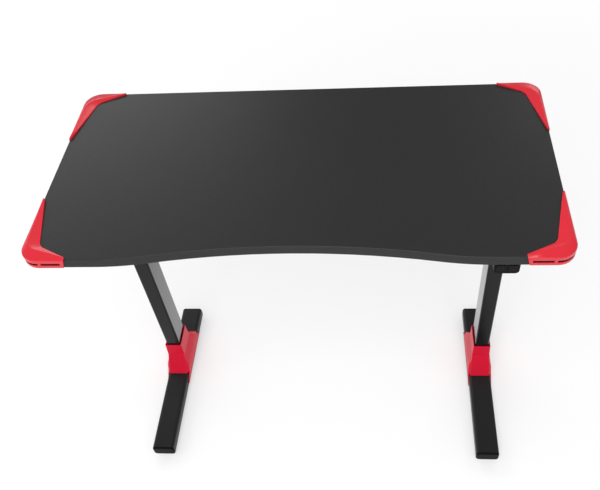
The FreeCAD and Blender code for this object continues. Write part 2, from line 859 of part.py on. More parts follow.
def make_column_collar(side_name, side):
    """The guide in the outer tube's mouth, with a brim on the tube's end."""
    name = f"{side_name}_column_collar"
    x = side * column_x
    body = new_body(name)
    bore = inner_section(x, d.slide_gap)
    sleeve = add_sketch(body, "XY_Plane", outer_top - d.collar_sleeve, outer_section(x, -d.outer_wall), bore)
    extrude(body, "Pad", sleeve, d.collar_sleeve)
    brim = add_sketch(body, "XY_Plane", outer_top, outer_section(x, d.collar_brim), bore)
    extrude(body, "Pad", brim, d.collar_rim)
    keep(name, body)


def make_inner_column(side_name, side):
    name = f"{side_name}_inner_column"
    x = side * column_x
    body = new_body(name)
    walls = inner_section(x, zero), inner_section(x, -d.inner_wall)
    section = add_sketch(body, "XY_Plane", inner_bottom, *walls)
    extrude(body, "Pad", section, inner_top - inner_bottom)
    keep(name, body)


def make_column_glide(side_name, side):
    """The glide cupped over the inner tube's lower end."""
    name = f"{side_name}_column_glide"
    x = side * column_x
    body = new_body(name)
    skin = outer_section(x, -(d.outer_wall + d.slide_gap))
    floor_level = inner_bottom - d.glide_floor
    floor = add_sketch(body, "XY_Plane", floor_level, skin, inner_section(x, -d.inner_wall))
    extrude(body, "Pad", floor, d.glide_floor)
    sleeve = add_sketch(body, "XY_Plane", inner_bottom, skin, inner_section(x, zero))
    extrude(body, "Pad", sleeve, d.glide_sleeve)
    keep(name, body)


def make_cover_half(side_name, side, end_name, end):
    """Half of the cover round a column's bottom: neck, ramp, and skirts down both sides of the foot."""
    name = f"{side_name}_{end_name}_cover"
    x = side * column_x
    front = end < 0
    reach = d.cover_front_reach if front else d.cover_rear_reach
    skirt_reach = d.skirt_front_reach if front else d.skirt_rear_reach
    neck_x = d.outer_width / 2 + d.cover_gap + d.cover_wall
    neck_y = d.outer_depth / 2 + d.cover_gap + d.cover_wall
    fold_x = neck_x + d.cover_fold_flare
    fold_y = neck_y + d.cover_fold_flare
    top = foot_top + d.cover_height
    fold = top - d.cover_fold_drop
    flare = foot_top + d.cover_flare_height
    ramp_height = fold - foot_top
    flare_y = reach - (reach - fold_y) * d.cover_flare_height / ramp_height
    inside_base_x = d.foot_width / 2 + d.foot_clearance

    def section(body, level, half_width, half_length, seam):
        """A half section, from its end to the seam plane, or past it by the seam allowance."""
        outer_end = d.column_y + end * half_length
        seam_end = d.column_y - end * seam
        low, high = (outer_end, seam_end) if front else (seam_end, outer_end)
        return add_sketch(body, "XY_Plane", level, rectangle(x - half_width, x + half_width, low, high))

    body = new_body(name)
    loft(body, "AdditiveLoft", [
        section(body, foot_top, d.cover_base_x, reach, zero),
        section(body, flare, d.cover_flare_x, flare_y, zero),
        section(body, fold, fold_x, fold_y, zero),
        section(body, top, neck_x, neck_y, zero),
    ])
    skirt_bottom = foot_top - d.skirt_drop
    skirt = [
        (d.column_y, skirt_bottom),
        (d.column_y, foot_top),
        (d.column_y + end * reach, foot_top),
        (d.column_y + end * skirt_reach, skirt_bottom),
    ]
    skirt_wall = d.cover_base_x - inside_base_x
    for level in (x - d.cover_base_x, x + inside_base_x):
        extrude(body, "Pad", add_sketch(body, "YZ_Plane", level, skirt), skirt_wall)
    wall = d.cover_wall
    loft(body, "SubtractiveLoft", [
        section(body, foot_top, inside_base_x, reach - wall, d.cut_overrun),
        section(body, flare, d.cover_flare_x - wall, flare_y - wall, d.cut_overrun),
        section(body, fold, fold_x - wall, fold_y - wall, d.cut_overrun),
        section(body, top, neck_x - wall, neck_y - wall, d.cut_overrun),
    ])
    if front:
        add_ribs(body, x, fold, ramp_height, fold_y, reach)
    keep(name, body)


def add_ribs(body, x, fold, ramp_height, fold_y, reach):
    """Upright ribs side by side on the front ramp."""
    def ramp_point(share, rise):
        y = d.column_y - fold_y - (reach - fold_y) * share
        return (y - rise, fold - ramp_height * share)

    profile = [
        ramp_point(RIB_START_SHARE, zero),
        ramp_point(RIB_END_SHARE, zero),
        ramp_point(RIB_END_SHARE, d.rib_rise),
        ramp_point(RIB_START_SHARE, d.rib_rise),
    ]
    for number in range(RIB_COUNT):
        place_in_row = number - (RIB_COUNT - 1) / 2
        level = x + d.rib_pitch * place_in_row - d.rib_width / 2
        extrude(body, "Pad", add_sketch(body, "YZ_Plane", level, profile), d.rib_width)


# Spindle drive

def make_nut_tube(side_name, side):
    """The post on the base plate that holds the spindle nut up."""
    name = f"{side_name}_nut_tube"
    x = side * column_x
    radius = d.nut_tube_diameter / 2
    length = nut_tube_top - plate_top
    post = rod(f"{name}_post", radius, length, x, d.column_y, plate_top)
    bore = rod(f"{name}_bore", radius - d.nut_tube_wall, length, x, d.column_y, plate_top)
    keep(name, cut(name, post, bore))


def make_spindle_nut(side_name, side):
    name = f"{side_name}_spindle_nut"
    x = side * column_x
    radius = d.nut_tube_diameter / 2
    flange = rod(f"{name}_flange", radius, d.nut_flange, x, d.column_y, nut_tube_top)
    spigot_bottom = nut_tube_top - d.nut_spigot
    spigot = rod(f"{name}_spigot", radius - d.nut_tube_wall, d.nut_spigot, x, d.column_y, spigot_bottom)
    bore = rod(f"{name}_bore", d.spindle_diameter / 2 + d.spindle_fit, nut_top - spigot_bottom,
               x, d.column_y, spigot_bottom)
    keep(name, cut(name, fuse(f"{name}_turned", [flange, spigot]), bore))


def make_spindle(side_name, side):
    name = f"{side_name}_spindle"
    top = shaft_z - d.gear_radius * GEAR_SMALL_END_SHARE
    keep(name, rod(name, d.spindle_diameter / 2, top - spindle_bottom, side * column_x, d.column_y,
                   spindle_bottom))


def make_spindle_bearing(side_name, side):
    name = f"{side_name}_spindle_bearing"
    x = side * column_x
    bottom = cavity_floor - d.bearing_height
    ring = rod(f"{name}_ring", d.bearing_radius, d.bearing_height, x, d.column_y, bottom)
    bore = rod(f"{name}_bore", d.spindle_diameter / 2 + d.spindle_fit, d.bearing_height,
               x, d.column_y, bottom)
    keep(name, cut(name, ring, bore))


def make_gear_housing(side_name, side, frame_bolts):
    """The casting on the inner tube: gear chamber above, spigot with the bearing seat below."""
    name = f"{side_name}_gear_housing"
    x = side * column_x
    y = d.column_y
    half_width, half_depth = d.housing_width / 2, d.housing_depth / 2
    block = box(f"{name}_block", (x - half_width, y - half_depth, inner_top),
                (x + half_width, y + half_depth, housing_top))
    spigot_inset = d.inner_wall + d.spigot_fit
    spigot_x, spigot_y = inner_width / 2 - spigot_inset, inner_depth / 2 - spigot_inset
    corner = d.inner_corner_radius - d.inner_wall
    spigot_body = new_body(f"{name}_spigot")
    spigot_sketch = add_sketch(spigot_body, "XY_Plane", inner_top - d.spigot_height,
                               rounded_rectangle(x, y, spigot_x * 2, spigot_y * 2, corner))
    extrude(spigot_body, "Pad", spigot_sketch, d.spigot_height)
    chamber_x = half_width - d.housing_wall_x
    chamber = box(f"{name}_chamber", (x - chamber_x, y - d.cavity_half_depth, cavity_floor),
                  (x + chamber_x, y + d.cavity_half_depth, housing_top))
    seat = rod(f"{name}_seat", d.bearing_radius, d.bearing_height, x, y, cavity_floor - d.bearing_height)
    passage = rod(f"{name}_passage", d.spindle_diameter / 2 + d.cut_overrun,
                  d.spigot_height + d.housing_floor, x, y, inner_top - d.spigot_height)
    shaft_bore = rod(f"{name}_shaft_bore", d.shaft_radius + d.shaft_fit, d.housing_width,
                     x - half_width, y, shaft_z, "+x")
    keep(name, cut(name, fuse(f"{name}_casting", [block, spigot_body]), chamber, seat, passage, shaft_bore,
                   frame_bolts))


def gear_ring(scale, phase):
    """The toothed outline of a bevel gear, scaled about the point where the two axes cross."""
    radius = d.gear_radius.value * scale
    half = d.gear_tooth_width.value * scale / 2
    root_half = half + d.gear_root_widening.value * scale / 2
    tip_half = half - d.gear_tip_narrowing.value * scale / 2
    root = radius - d.gear_dedendum.value * scale
    tip = radius + d.gear_addendum.value * scale
    points = []
    for tooth in range(GEAR_TEETH):
        middle = phase + 2 * math.pi * tooth / GEAR_TEETH
        for reach, offset in ((root, -root_half), (tip, -tip_half), (tip, tip_half), (root, root_half)):
            angle = middle + math.asin(offset / reach)
            points.append(FreeCAD.Vector(reach * math.cos(angle), reach * math.sin(angle), -radius))
    return Part.makePolygon(points + points[:1])


def make_gear(name, bore_radius, phase, position, turn):
    """A straight bevel gear of one-to-one pair, its axes' crossing at the position."""
    toothed = Part.makeLoft([gear_ring(1, phase), gear_ring(GEAR_SMALL_END_SHARE, phase)], True, True)
    length = (d.gear_radius + d.gear_hub_length).value
    bottom = FreeCAD.Vector(0, 0, -length)
    hub = Part.makeCylinder(d.gear_hub_radius.value, d.gear_hub_length.value, bottom)
    bore = Part.makeCylinder(bore_radius.value, length, bottom)
    item = doc.addObject("Part::Feature", name)
    item.Shape = toothed.fuse(hub).cut(bore)
    item.Placement = FreeCAD.Placement(FreeCAD.Vector(), turn)
    keep(name, place(item, *position))


def make_drive_shaft():
    """One bar through both gear housings: hexagonal between them, round where it turns in a bore."""
    end = column_x + d.housing_width / 2 - d.shaft_end_gap
    start = -end
    journals = [
        rod("shaft_left_journal", d.shaft_radius, d.journal_length, start, d.column_y, shaft_z, "+x"),
        rod("shaft_right_journal", d.shaft_radius, d.journal_length, end, d.column_y, shaft_z, "-x"),
    ]
    bar = hexagon("shaft_bar", d.shaft_radius, (end - d.journal_length) * 2,
                  start + d.journal_length, d.column_y, shaft_z, "+x")
    keep("drive_shaft", fuse("drive_shaft", journals + [bar]))


# Frame under the desktop

def make_support_arm(side_name, side, frame_bolts, wood_screws):
    """A channel over the gear housing, tapered towards its ends, screwed up into the board."""
    name = f"{side_name}_support_arm"
    x = side * column_x
    front, rear = d.column_y - d.arm_front, d.column_y + d.arm_rear
    flange_bottom = housing_top - d.arm_flange
    tip_bottom = housing_top - d.arm_tip_flange
    outline = [
        (front, board_bottom),
        (front, tip_bottom),
        (front + d.arm_taper, flange_bottom),
        (rear - d.arm_taper, flange_bottom),
        (rear, tip_bottom),
        (rear, board_bottom),
    ]
    body = new_body(name)
    extrude(body, "Pad", add_sketch(body, "YZ_Plane", x - arm_half_width, outline), arm_half_width * 2)
    inside = arm_half_width - d.arm_wall
    channel = rectangle(x - inside, x + inside, front - d.cut_overrun, rear + d.cut_overrun)
    extrude(body, "Pocket", add_sketch(body, "XY_Plane", housing_top, channel), d.arm_flange + d.cut_overrun)
    hole = rod(f"{name}_hole", d.arm_shaft_hole, arm_half_width * 2, x - arm_half_width, d.column_y, shaft_z,
               "+x")
    keep(name, cut(name, body, hole, frame_bolts, wood_screws))


def make_rail(name, row, frame_bolts):
    """A cross rail between the support arms, closed by plates that take the end bolts."""
    y = d.column_y + row * d.rail_offset
    end = column_x - arm_half_width
    half_depth = d.rail_depth / 2
    inside = half_depth - d.rail_wall
    body = new_body(name)
    section = add_sketch(
        body, "YZ_Plane", -end,
        rectangle(y - half_depth, y + half_depth, rail_bottom, board_bottom),
        rectangle(y - inside, y + inside, rail_bottom + d.rail_wall, board_bottom - d.rail_wall))
    extrude(body, "Pad", section, end * 2)
    plates = []
    for side_name, side in SIDES:
        outer_x = side * end
        inner_x = outer_x - side * d.rail_end_plate
        low_x, high_x = (inner_x, outer_x) if side > 0 else (outer_x, inner_x)
        plates.append(box(f"{name}_{side_name}_plate", (low_x, y - inside, rail_bottom + d.rail_wall),
                          (high_x, y + inside, board_bottom - d.rail_wall)))
    keep(name, cut(name, fuse(f"{name}_welded", [body] + plates), frame_bolts))


def make_motor(frame_bolts):
    """Gear case round the cross shaft, with the motor's can beside the shaft, on a bracket plate."""
    body = new_body("motor_gearcase")
    length = d.gearcase_length
    start = motor_x - length / 2
    depth = d.gearcase_front + d.gearcase_rear
    middle_y = d.column_y + (d.gearcase_rear - d.gearcase_front) / 2
    middle_z = rail_bottom + d.gearcase_height / 2
    outline = rounded_rectangle(middle_y, middle_z, depth, d.gearcase_height, d.gearcase_round)
    extrude(body, "Pad", add_sketch(body, "YZ_Plane", start, outline), length)
    passage = rod("motor_passage", d.shaft_radius + d.shaft_fit, length, start, d.column_y, shaft_z, "+x")
    can_x, can_y = start + length, d.column_y + d.can_y
    can = rod("motor_can_drum", d.can_radius, d.can_length, can_x, can_y, middle_z, "+x")
    can_end = rod("motor_can_end", d.can_end_radius, d.can_end_length, can_x + d.can_length, can_y, middle_z,
                  "+x")
    cased = fuse("gear_motor_cased", [body, can, can_end])
    keep("gear_motor", cut("gear_motor", cased, passage, frame_bolts))
    half_width = d.bracket_width / 2
    reach = d.rail_offset + d.rail_depth / 2
    plate = box("motor_bracket_plate",
                (motor_x - half_width, d.column_y - reach, rail_bottom - d.bracket_thickness),
                (motor_x + half_width, d.column_y + reach, rail_bottom))
    keep("motor_bracket", cut("motor_bracket", plate, frame_bolts))


# Control box

def make_control_box(wood_screws):
    """A tray screwed to the board, a lid under it, the mains inlet and the two lead sockets."""
    x, y = d.control_x, d.control_y
    half_length, half_depth = d.control_length / 2, d.control_depth / 2
    bottom = control_lid_top - d.control_height
    ear = half_length + d.control_ear
    tray_body = new_body("control_box_tray")
    tray = rounded_rectangle(x, y, ear * 2, d.control_depth, d.control_round)
    extrude(tray_body, "Pad", add_sketch(tray_body, "XY_Plane", control_lid_top, tray), d.control_tray)
    keep("control_box_tray", cut("control_box_tray", tray_body, wood_screws))

    wall = d.control_wall
    lid_body = new_body("control_box_lid")
    lid = rounded_rectangle(x, y, d.control_length, d.control_depth, d.control_round)
    extrude(lid_body, "Pad", add_sketch(lid_body, "XY_Plane", bottom, lid), d.control_height)
    room = rounded_rectangle(x, y, d.control_length - wall * 2, d.control_depth - wall * 2,
                             d.control_round - wall)
    room_sketch = add_sketch(lid_body, "XY_Plane", control_lid_top, room)
    extrude(lid_body, "Pocket", room_sketch, d.control_height - wall)

    middle_z = bottom + d.control_height / 2
    inlet_low = (x - half_length, y - d.inlet_width / 2, middle_z - d.inlet_height / 2)
    inlet_high = (inlet_low[0] + d.inlet_depth, y + d.inlet_width / 2, middle_z + d.inlet_height / 2)
    inlet = box("mains_inlet_block", inlet_low, inlet_high)
    recess_body = new_body("mains_inlet_recess")
    recess_height = d.inlet_height - d.inlet_rim * 2
    recess = rounded_rectangle(y, middle_z, d.inlet_width - d.inlet_rim * 2, recess_height,
                               recess_height * INLET_ROUND_SHARE)
    extrude(recess_body, "Pad", add_sketch(recess_body, "YZ_Plane", inlet_low[0], recess), d.inlet_recess)
    keep("mains_inlet", cut("mains_inlet", inlet, recess_body))

    sockets = []
    blocks = []
    for row in (-1, 1):
        socket_y = y + row * d.socket_pitch / 2
        high_x = x + half_length
        low = (high_x - d.socket_depth, socket_y - d.socket_width / 2, middle_z - d.socket_height / 2)
        high = (high_x, socket_y + d.socket_width / 2, middle_z + d.socket_height / 2)
        block = box(f"socket_block_{row + 1}", low, high)
        rim = d.socket_rim
        mouth = box(f"socket_mouth_{row + 1}", (high_x - d.socket_recess, low[1] + rim, low[2] + rim),
                    (high_x, high[1] - rim, high[2] - rim))
        blocks.append(block)
        sockets.append(cut(f"socket_{row + 1}", block, mouth))
    keep("lead_sockets", group("lead_sockets", sockets))
    keep("control_box_lid", cut("control_box_lid", lid_body, inlet, *blocks))


# Hand switch

def switch_outline(inset, top):
    """The switch's front outline, with round lower corners, drawn in by an inset."""
    left = switch_x - d.switch_width / 2 + inset
    right = switch_x + d.switch_width / 2 - inset
    low = switch_bottom + inset
    radius = d.switch_corner_radius - inset
    return [
        (left, low + radius, radius, 1),
        (left + radius, low),
        (right - radius, low, radius, 1),
        (right, low + radius),
        (right, top),
        (left, top),
    ]


def button_outline(column, growth):
    return rounded_rectangle(switch_x + column * d.button_pitch / 2, board_bottom - d.button_drop,
                             d.button_width + growth * 2, d.button_height + growth * 2,
                             d.button_corner_radius + growth)


def make_switch(wood_screws):
    """Housing with two ears, front plate, two buttons and the circuit board that they press on."""
    back = switch_front + d.switch_depth
    bezel_back = switch_front + d.switch_bezel
    inside_top = board_bottom - d.switch_wall
    shell = new_body("switch_housing")
    extrude(shell, "Pad", add_sketch(shell, "XZ_Plane", -back, switch_outline(zero, board_bottom)),
            back - bezel_back)
    room = add_sketch(shell, "XZ_Plane", -bezel_back, switch_outline(d.switch_wall, inside_top))
    extrude(shell, "Pocket", room, back - bezel_back - d.switch_wall)
    ear_front = switch_front + (d.switch_depth - d.switch_ear_depth) / 2
    half = d.switch_width / 2
    ears = []
    for side_name, side in SIDES:
        inner_x = switch_x + side * half
        outer_x = inner_x + side * d.switch_ear
        low_x, high_x = (inner_x, outer_x) if side > 0 else (outer_x, inner_x)
        ears.append(box(f"switch_{side_name}_ear", (low_x, ear_front, board_bottom - d.switch_ear_thickness),
                        (high_x, ear_front + d.switch_ear_depth, board_bottom)))
    keep("switch_housing", cut("switch_housing", fuse("switch_housing_moulded", [shell] + ears), wood_screws))

    plate = new_body("switch_bezel")
    windows = [button_outline(column, d.button_gap) for column in (-1, 1)]
    face = add_sketch(plate, "XZ_Plane", -bezel_back, switch_outline(zero, board_bottom), *windows)
    extrude(plate, "Pad", face, d.switch_bezel)
    keep("switch_bezel", plate)

    flange_front = bezel_back + d.running_gap
    flange_back = flange_front + d.button_flange
    for name, column in (("up_button", -1), ("down_button", 1)):
        body = new_body(name)
        cap = add_sketch(body, "XZ_Plane", -flange_front, button_outline(column, zero))
        extrude(body, "Pad", cap, flange_front - switch_front + d.button_proud)
        flange = add_sketch(body, "XZ_Plane", -flange_back, button_outline(column, d.button_flange_overlap))
        extrude(body, "Pad", flange, d.button_flange)
        keep(name, body)

    key_front = flange_back + d.button_travel + d.running_gap
    key_back = key_front + d.key_height
    board_inset = d.switch_wall + d.circuit_fit
    card = new_body("switch_circuit")
    card_back = key_back + d.circuit_thickness
    card_outline = switch_outline(board_inset, inside_top - d.circuit_fit)
    extrude(card, "Pad", add_sketch(card, "XZ_Plane", -card_back, card_outline), d.circuit_thickness)
    keys = []
    for column in (-1, 1):
        key_x = switch_x + column * d.button_pitch / 2
        key_z = board_bottom - d.button_drop
        half_key = d.key_size / 2
        keys.append(box(f"switch_key_{column + 1}", (key_x - half_key, key_front, key_z - half_key),
                        (key_x + half_key, key_back, key_z + half_key)))
    keep("switch_circuit", fuse("switch_circuit", [card] + keys))


# The whole desk

foot_bolts = make_foot_bolts()
frame_bolts = make_frame_bolts()
wood_screws = make_wood_screws()
make_desktop(wood_screws)
for side_name, side in SIDES:
    make_foot(side_name, side, foot_bolts)
    make_outer_column(side_name, side, foot_bolts)
    make_column_collar(side_name, side)
    make_inner_column(side_name, side)
    make_column_glide(side_name, side)
    make_nut_tube(side_name, side)
    make_spindle_nut(side_name, side)
    make_spindle(side_name, side)
    make_spindle_bearing(side_name, side)
    make_gear_housing(side_name, side, frame_bolts)
    make_support_arm(side_name, side, frame_bolts, wood_screws)
    gear_centre = (side * column_x, d.column_y, shaft_z)
    make_gear(f"{side_name}_spindle_gear", d.spindle_diameter / 2, 0, gear_centre, TURNS["+z"])
    make_gear(f"{side_name}_shaft_gear", d.shaft_radius, math.pi / GEAR_TEETH, gear_centre, TURNS["-x"])
    for end_name, end in ENDS:
        make_guard(side_name, side, end_name, end, wood_screws)
        make_foot_cap(side_name, side, end_name, end)
        make_leveller(side_name, side, end_name, end)
        make_cover_half(side_name, side, end_name, end)
for rail_name, row in (("front_rail", -1), ("rear_rail", 1)):
    make_rail(rail_name, row, frame_bolts)
make_drive_shaft()
make_motor(frame_bolts)
make_control_box(wood_screws)
make_switch(wood_screws)
doc.recompute()

for item in doc.Objects:
    if "Invalid" in item.State or "Error" in item.State:
        raise RuntimeError(f"{item.Label} did not build: {item.State}")
for name, item in nodes.items():
    if item.Shape.isNull() or not item.Shape.isValid() or not item.Shape.Solids:
        raise RuntimeError(f"{name} has no valid solid")

os.makedirs("parts", exist_ok=True)
for name, item in nodes.items():
    item.Shape.exportStep(f"parts/{name}.step")
print(len(nodes), "sub-parts written")
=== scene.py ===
import json
import math

import bmesh
import bpy
from mathutils import Matrix, Vector


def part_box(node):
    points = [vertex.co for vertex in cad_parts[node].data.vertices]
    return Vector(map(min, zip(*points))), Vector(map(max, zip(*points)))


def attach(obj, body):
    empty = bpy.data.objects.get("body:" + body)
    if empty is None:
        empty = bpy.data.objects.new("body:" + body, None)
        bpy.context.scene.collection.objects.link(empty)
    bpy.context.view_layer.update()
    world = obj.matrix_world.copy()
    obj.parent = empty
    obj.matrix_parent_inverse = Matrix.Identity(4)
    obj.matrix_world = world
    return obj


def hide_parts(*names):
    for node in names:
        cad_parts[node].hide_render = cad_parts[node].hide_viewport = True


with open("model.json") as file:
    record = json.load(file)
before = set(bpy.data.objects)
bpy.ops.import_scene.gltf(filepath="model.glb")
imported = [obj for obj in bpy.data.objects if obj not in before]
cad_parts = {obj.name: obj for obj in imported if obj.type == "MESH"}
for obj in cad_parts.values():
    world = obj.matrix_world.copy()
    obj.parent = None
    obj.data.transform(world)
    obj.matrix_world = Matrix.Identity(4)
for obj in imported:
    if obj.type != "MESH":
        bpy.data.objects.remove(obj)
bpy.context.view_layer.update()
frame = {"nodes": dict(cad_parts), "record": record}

# The desk's looks: soft edges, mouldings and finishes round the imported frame. Metres, as in the frame.
MM = 0.001
X, Y, Z = range(3)
UP = Vector((0, 0, 1))
SIDES = (("left", -1), ("right", 1))
ENDS = (("front", -1), ("rear", 1))
SAME_PLACE = 0.02 * MM
SHORTEST_RUN = 1 * MM
MERGE_REACH = 0.005 * MM
OVERRUN = 1 * MM
ROD_SIDES = 32
DIAGONAL = math.sqrt(0.5)


# Hand tools

def deselect_all():
    if bpy.context.mode != "OBJECT":
        bpy.ops.object.mode_set(mode="OBJECT")
    bpy.ops.object.select_all(action="DESELECT")


def take_up(piece):
    """Make a piece the only one selected."""
    deselect_all()
    piece.select_set(True)
    bpy.context.view_layer.objects.active = piece


def edit(piece, kind, chosen):
    """Enter edit mode with the faces, edges or vertices selected that a test picks."""
    take_up(piece)
    bpy.ops.object.mode_set(mode="EDIT")
    bpy.ops.mesh.select_mode(type=kind)
    bpy.ops.mesh.select_all(action="DESELECT")
    mesh = bmesh.from_edit_mesh(piece.data)
    for item in {"FACE": mesh.faces, "EDGE": mesh.edges, "VERT": mesh.verts}[kind]:
        if chosen(item):
            item.select_set(True)
    mesh.select_flush_mode()
    bmesh.update_edit_mesh(piece.data)


def put_down():
    bpy.ops.object.mode_set(mode="OBJECT")


def everything(item):
    return True


def middle(item):
    """The middle of a face or an edge."""
    return sum((corner.co for corner in item.verts), Vector()) / len(item.verts)


def middle_of(node):
    """The middle of a node's box in the frame."""
    low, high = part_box(node)
    return (low + high) / 2


def at(corner, axis, level, slack=SAME_PLACE):
    """Whether a corner lies at a level of an axis."""
    return abs(corner.co[axis] - level) < slack


def lies_in(item, axis, level):
    """Whether all corners of a face or an edge lie at a level of an axis."""
    return all(at(corner, axis, level) for corner in item.verts)


def runs_along(edge, axis):
    """Whether an edge goes some way along an axis."""
    first, last = edge.verts
    return abs(first.co[axis] - last.co[axis]) > SHORTEST_RUN


def add_block(name, low, high):
    """A block between two corners, with its place in its mesh."""
    deselect_all()
    low, high = Vector(low), Vector(high)
    bpy.ops.mesh.primitive_cube_add(size=1, location=(low + high) / 2)
    piece = bpy.context.object
    piece.scale = high - low
    bpy.ops.object.transform_apply(location=True, rotation=True, scale=True)
    piece.name = name
    return piece


def add_rod(name, place, radius, length):
    """A plain rod that starts at a place and runs along X."""
    deselect_all()
    bpy.ops.mesh.primitive_cylinder_add(vertices=ROD_SIDES, radius=radius, depth=length,
                                        rotation=(0, math.pi / 2, 0),
                                        location=Vector(place) + Vector((length / 2, 0, 0)))
    piece = bpy.context.object
    piece.name = name
    bpy.ops.object.transform_apply(location=True, rotation=True, scale=True)
    return piece


def add_skin(name, rows):
    """A grid whose crossings are moved to rows of points."""
    deselect_all()
    columns = len(rows[0])
    bpy.ops.mesh.primitive_grid_add(x_subdivisions=columns - 1, y_subdivisions=len(rows) - 1)
    piece = bpy.context.object
    piece.name = name
    for row_number, row in enumerate(rows):
        for column, point in enumerate(row):
            piece.data.vertices[row_number * columns + column].co = point
    return piece


def round_edges(piece, width, chosen, segments):
    edit(piece, "EDGE", chosen)
    bpy.ops.mesh.bevel(offset=width, segments=segments, affect="EDGES", clamp_overlap=True)
    put_down()


def soften(piece, width, angle=50, segments=2):
    """Round every edge that turns by more than an angle."""
    take_up(piece)
    rounding = piece.modifiers.new("rounding", "BEVEL")
    rounding.width = width
    rounding.segments = segments
    rounding.limit_method = "ANGLE"
    rounding.angle_limit = math.radians(angle)
    bpy.ops.object.modifier_apply(modifier=rounding.name)


def thicken(piece, wall):
    """Give an outer skin its wall, inwards."""
    take_up(piece)
    shell = piece.modifiers.new("shell", "SOLIDIFY")
    shell.thickness = wall
    shell.offset = -1
    shell.use_even_offset = True
    bpy.ops.object.modifier_apply(modifier=shell.name)


def face_outwards(piece):
    """Merge doubled corners and turn all faces outwards."""
    edit(piece, "VERT", everything)
    bpy.ops.mesh.remove_doubles(threshold=MERGE_REACH)
    bpy.ops.mesh.normals_make_consistent(inside=False)
    put_down()


def shade(piece, angle=35):
    """Smooth shading that keeps flat faces flat."""
    take_up(piece)
    bpy.ops.object.shade_smooth_by_angle(angle=math.radians(angle))
    weights = piece.modifiers.new("flat_faces", "WEIGHTED_NORMAL")
    weights.keep_sharp = True
    bpy.ops.object.modifier_apply(modifier=weights.name)


def move(piece, chosen, offset):
    """Move the chosen corners."""
    edit(piece, "VERT", chosen)
    bpy.ops.transform.translate(value=offset)
    put_down()


def cut_across(piece, chosen, place, direction):
    """Cut the chosen faces along a plane."""
    edit(piece, "FACE", chosen)
    bpy.ops.mesh.bisect(plane_co=place, plane_no=direction)
    put_down()


def take_away(piece, chosen):
    """Delete the chosen faces."""
    edit(piece, "FACE", chosen)
    bpy.ops.mesh.delete(type="FACE")
    put_down()


def close_end(piece, chosen):
    """Fill the open end whose edges a test picks."""
    edit(piece, "EDGE", lambda edge: edge.is_boundary and chosen(edge))
    bpy.ops.mesh.edge_face_add()
    put_down()


def draw_out(piece, kind, chosen, offset):
    """Extrude the chosen faces or edges."""
    edit(piece, kind, chosen)
    bpy.ops.mesh.extrude_region_move(TRANSFORM_OT_translate={"value": offset})
    put_down()


def step_face(piece, chosen, margin, offset):
    """Draw a smaller face out of the chosen one, or sink it in."""
    edit(piece, "FACE", chosen)
    bpy.ops.mesh.inset(thickness=margin)
    bpy.ops.mesh.extrude_region_move(TRANSFORM_OT_translate={"value": offset})
    put_down()


def turn_up(name, profile, sides):
    """A round piece, drawn up ring by ring from a disc: pairs of radius and height."""
    deselect_all()
    radius, level = profile[0]
    bpy.ops.mesh.primitive_circle_add(vertices=sides, radius=radius, fill_type="NGON", location=(0, 0, level))
    piece = bpy.context.object
    piece.name = name
    bpy.ops.object.transform_apply(location=True, rotation=True, scale=True)
    edit(piece, "FACE", everything)
    for next_radius, next_level in profile[1:]:
        growth = next_radius / radius
        bpy.ops.mesh.extrude_region_move(TRANSFORM_OT_translate={"value": (0, 0, next_level - level)})
        bpy.ops.transform.resize(value=(growth, growth, 1), center_override=(0, 0, next_level))
        radius, level = next_radius, next_level
    put_down()
    face_outwards(piece)
    return piece


def thread(radius, depth, start, length, pitch):
    """The rings of a thread, as steps of a turned piece."""
    rings = []
    for number in range(int(length / pitch)):
        root = start + number * pitch
        rings += [(radius - depth, root), (radius, root + pitch / 2)]
    return rings


def carve(piece, cutter):
    """Cut a cutter's shape out of a piece, and put the cutter away."""
    take_up(piece)
    cut = piece.modifiers.new("cut", "BOOLEAN")
    cut.operation = "DIFFERENCE"
    cut.object = cutter
    bpy.ops.object.modifier_apply(modifier=cut.name)
    bpy.data.objects.remove(cutter)


def join(pieces):
    """Join pieces into the first one."""
    deselect_all()
    for piece in pieces:
        piece.select_set(True)
    bpy.context.view_layer.objects.active = pieces[0]
    bpy.ops.object.join()
    return pieces[0]


def pose_in_mesh(piece, matrix):
    piece.data.transform(matrix)
    return piece


def copy_of(piece, name, matrix):
    """A copy with its own mesh, moved or mirrored in the mesh."""
    twin = piece.copy()
    twin.data = piece.data.copy()
    twin.name = name
    bpy.context.scene.collection.objects.link(twin)
    twin.data.transform(matrix)
    if matrix.determinant() < 0:
        twin.data.flip_normals()
    return twin


def mirrored_to_corners(first, ending):
    """A front left piece and its mirrored copies, each with the name of its corner."""
    for end_name, end in ENDS:
        for side_name, side in SIDES:
            corner = f"{end_name}_{side_name}"
            mirror = Matrix.Diagonal((-side, -end, 1, 1))
            yield corner, first if corner == "front_left" else copy_of(first, f"{corner}_{ending}", mirror)


def dress(piece, body, slot, *nodes, finish=None):
    """Set a finished piece on its body, in the finish of its slot or its own, in place of its nodes."""
    piece.data.materials.clear()
    piece.data.materials.append(finish or finishes[slot])
    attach(piece, body)
    if nodes:
        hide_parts(*nodes)


# Shared effects

TWILL_REPEAT, TWILL_OVER = 4, 2
FILAMENTS = 9
TOW_CROWN = 0.6
GRAIN_NOISE = {"detail": 3.0, "roughness": 0.6}
PATCH_NOISE = {"detail": 4.0, "roughness": 0.55}


def new_group(name, inputs, outputs):
    """A shader node group with named value or vector sockets."""
    group = bpy.data.node_groups.new(name, "ShaderNodeTree")
    for label, kind in inputs:
        group.interface.new_socket(label, in_out="INPUT", socket_type=f"NodeSocket{kind}")
    for label, kind in outputs:
        group.interface.new_socket(label, in_out="OUTPUT", socket_type=f"NodeSocket{kind}")
    entry = group.nodes.new("NodeGroupInput")
    leave = group.nodes.new("NodeGroupOutput")
    return group, entry.outputs, leave.inputs


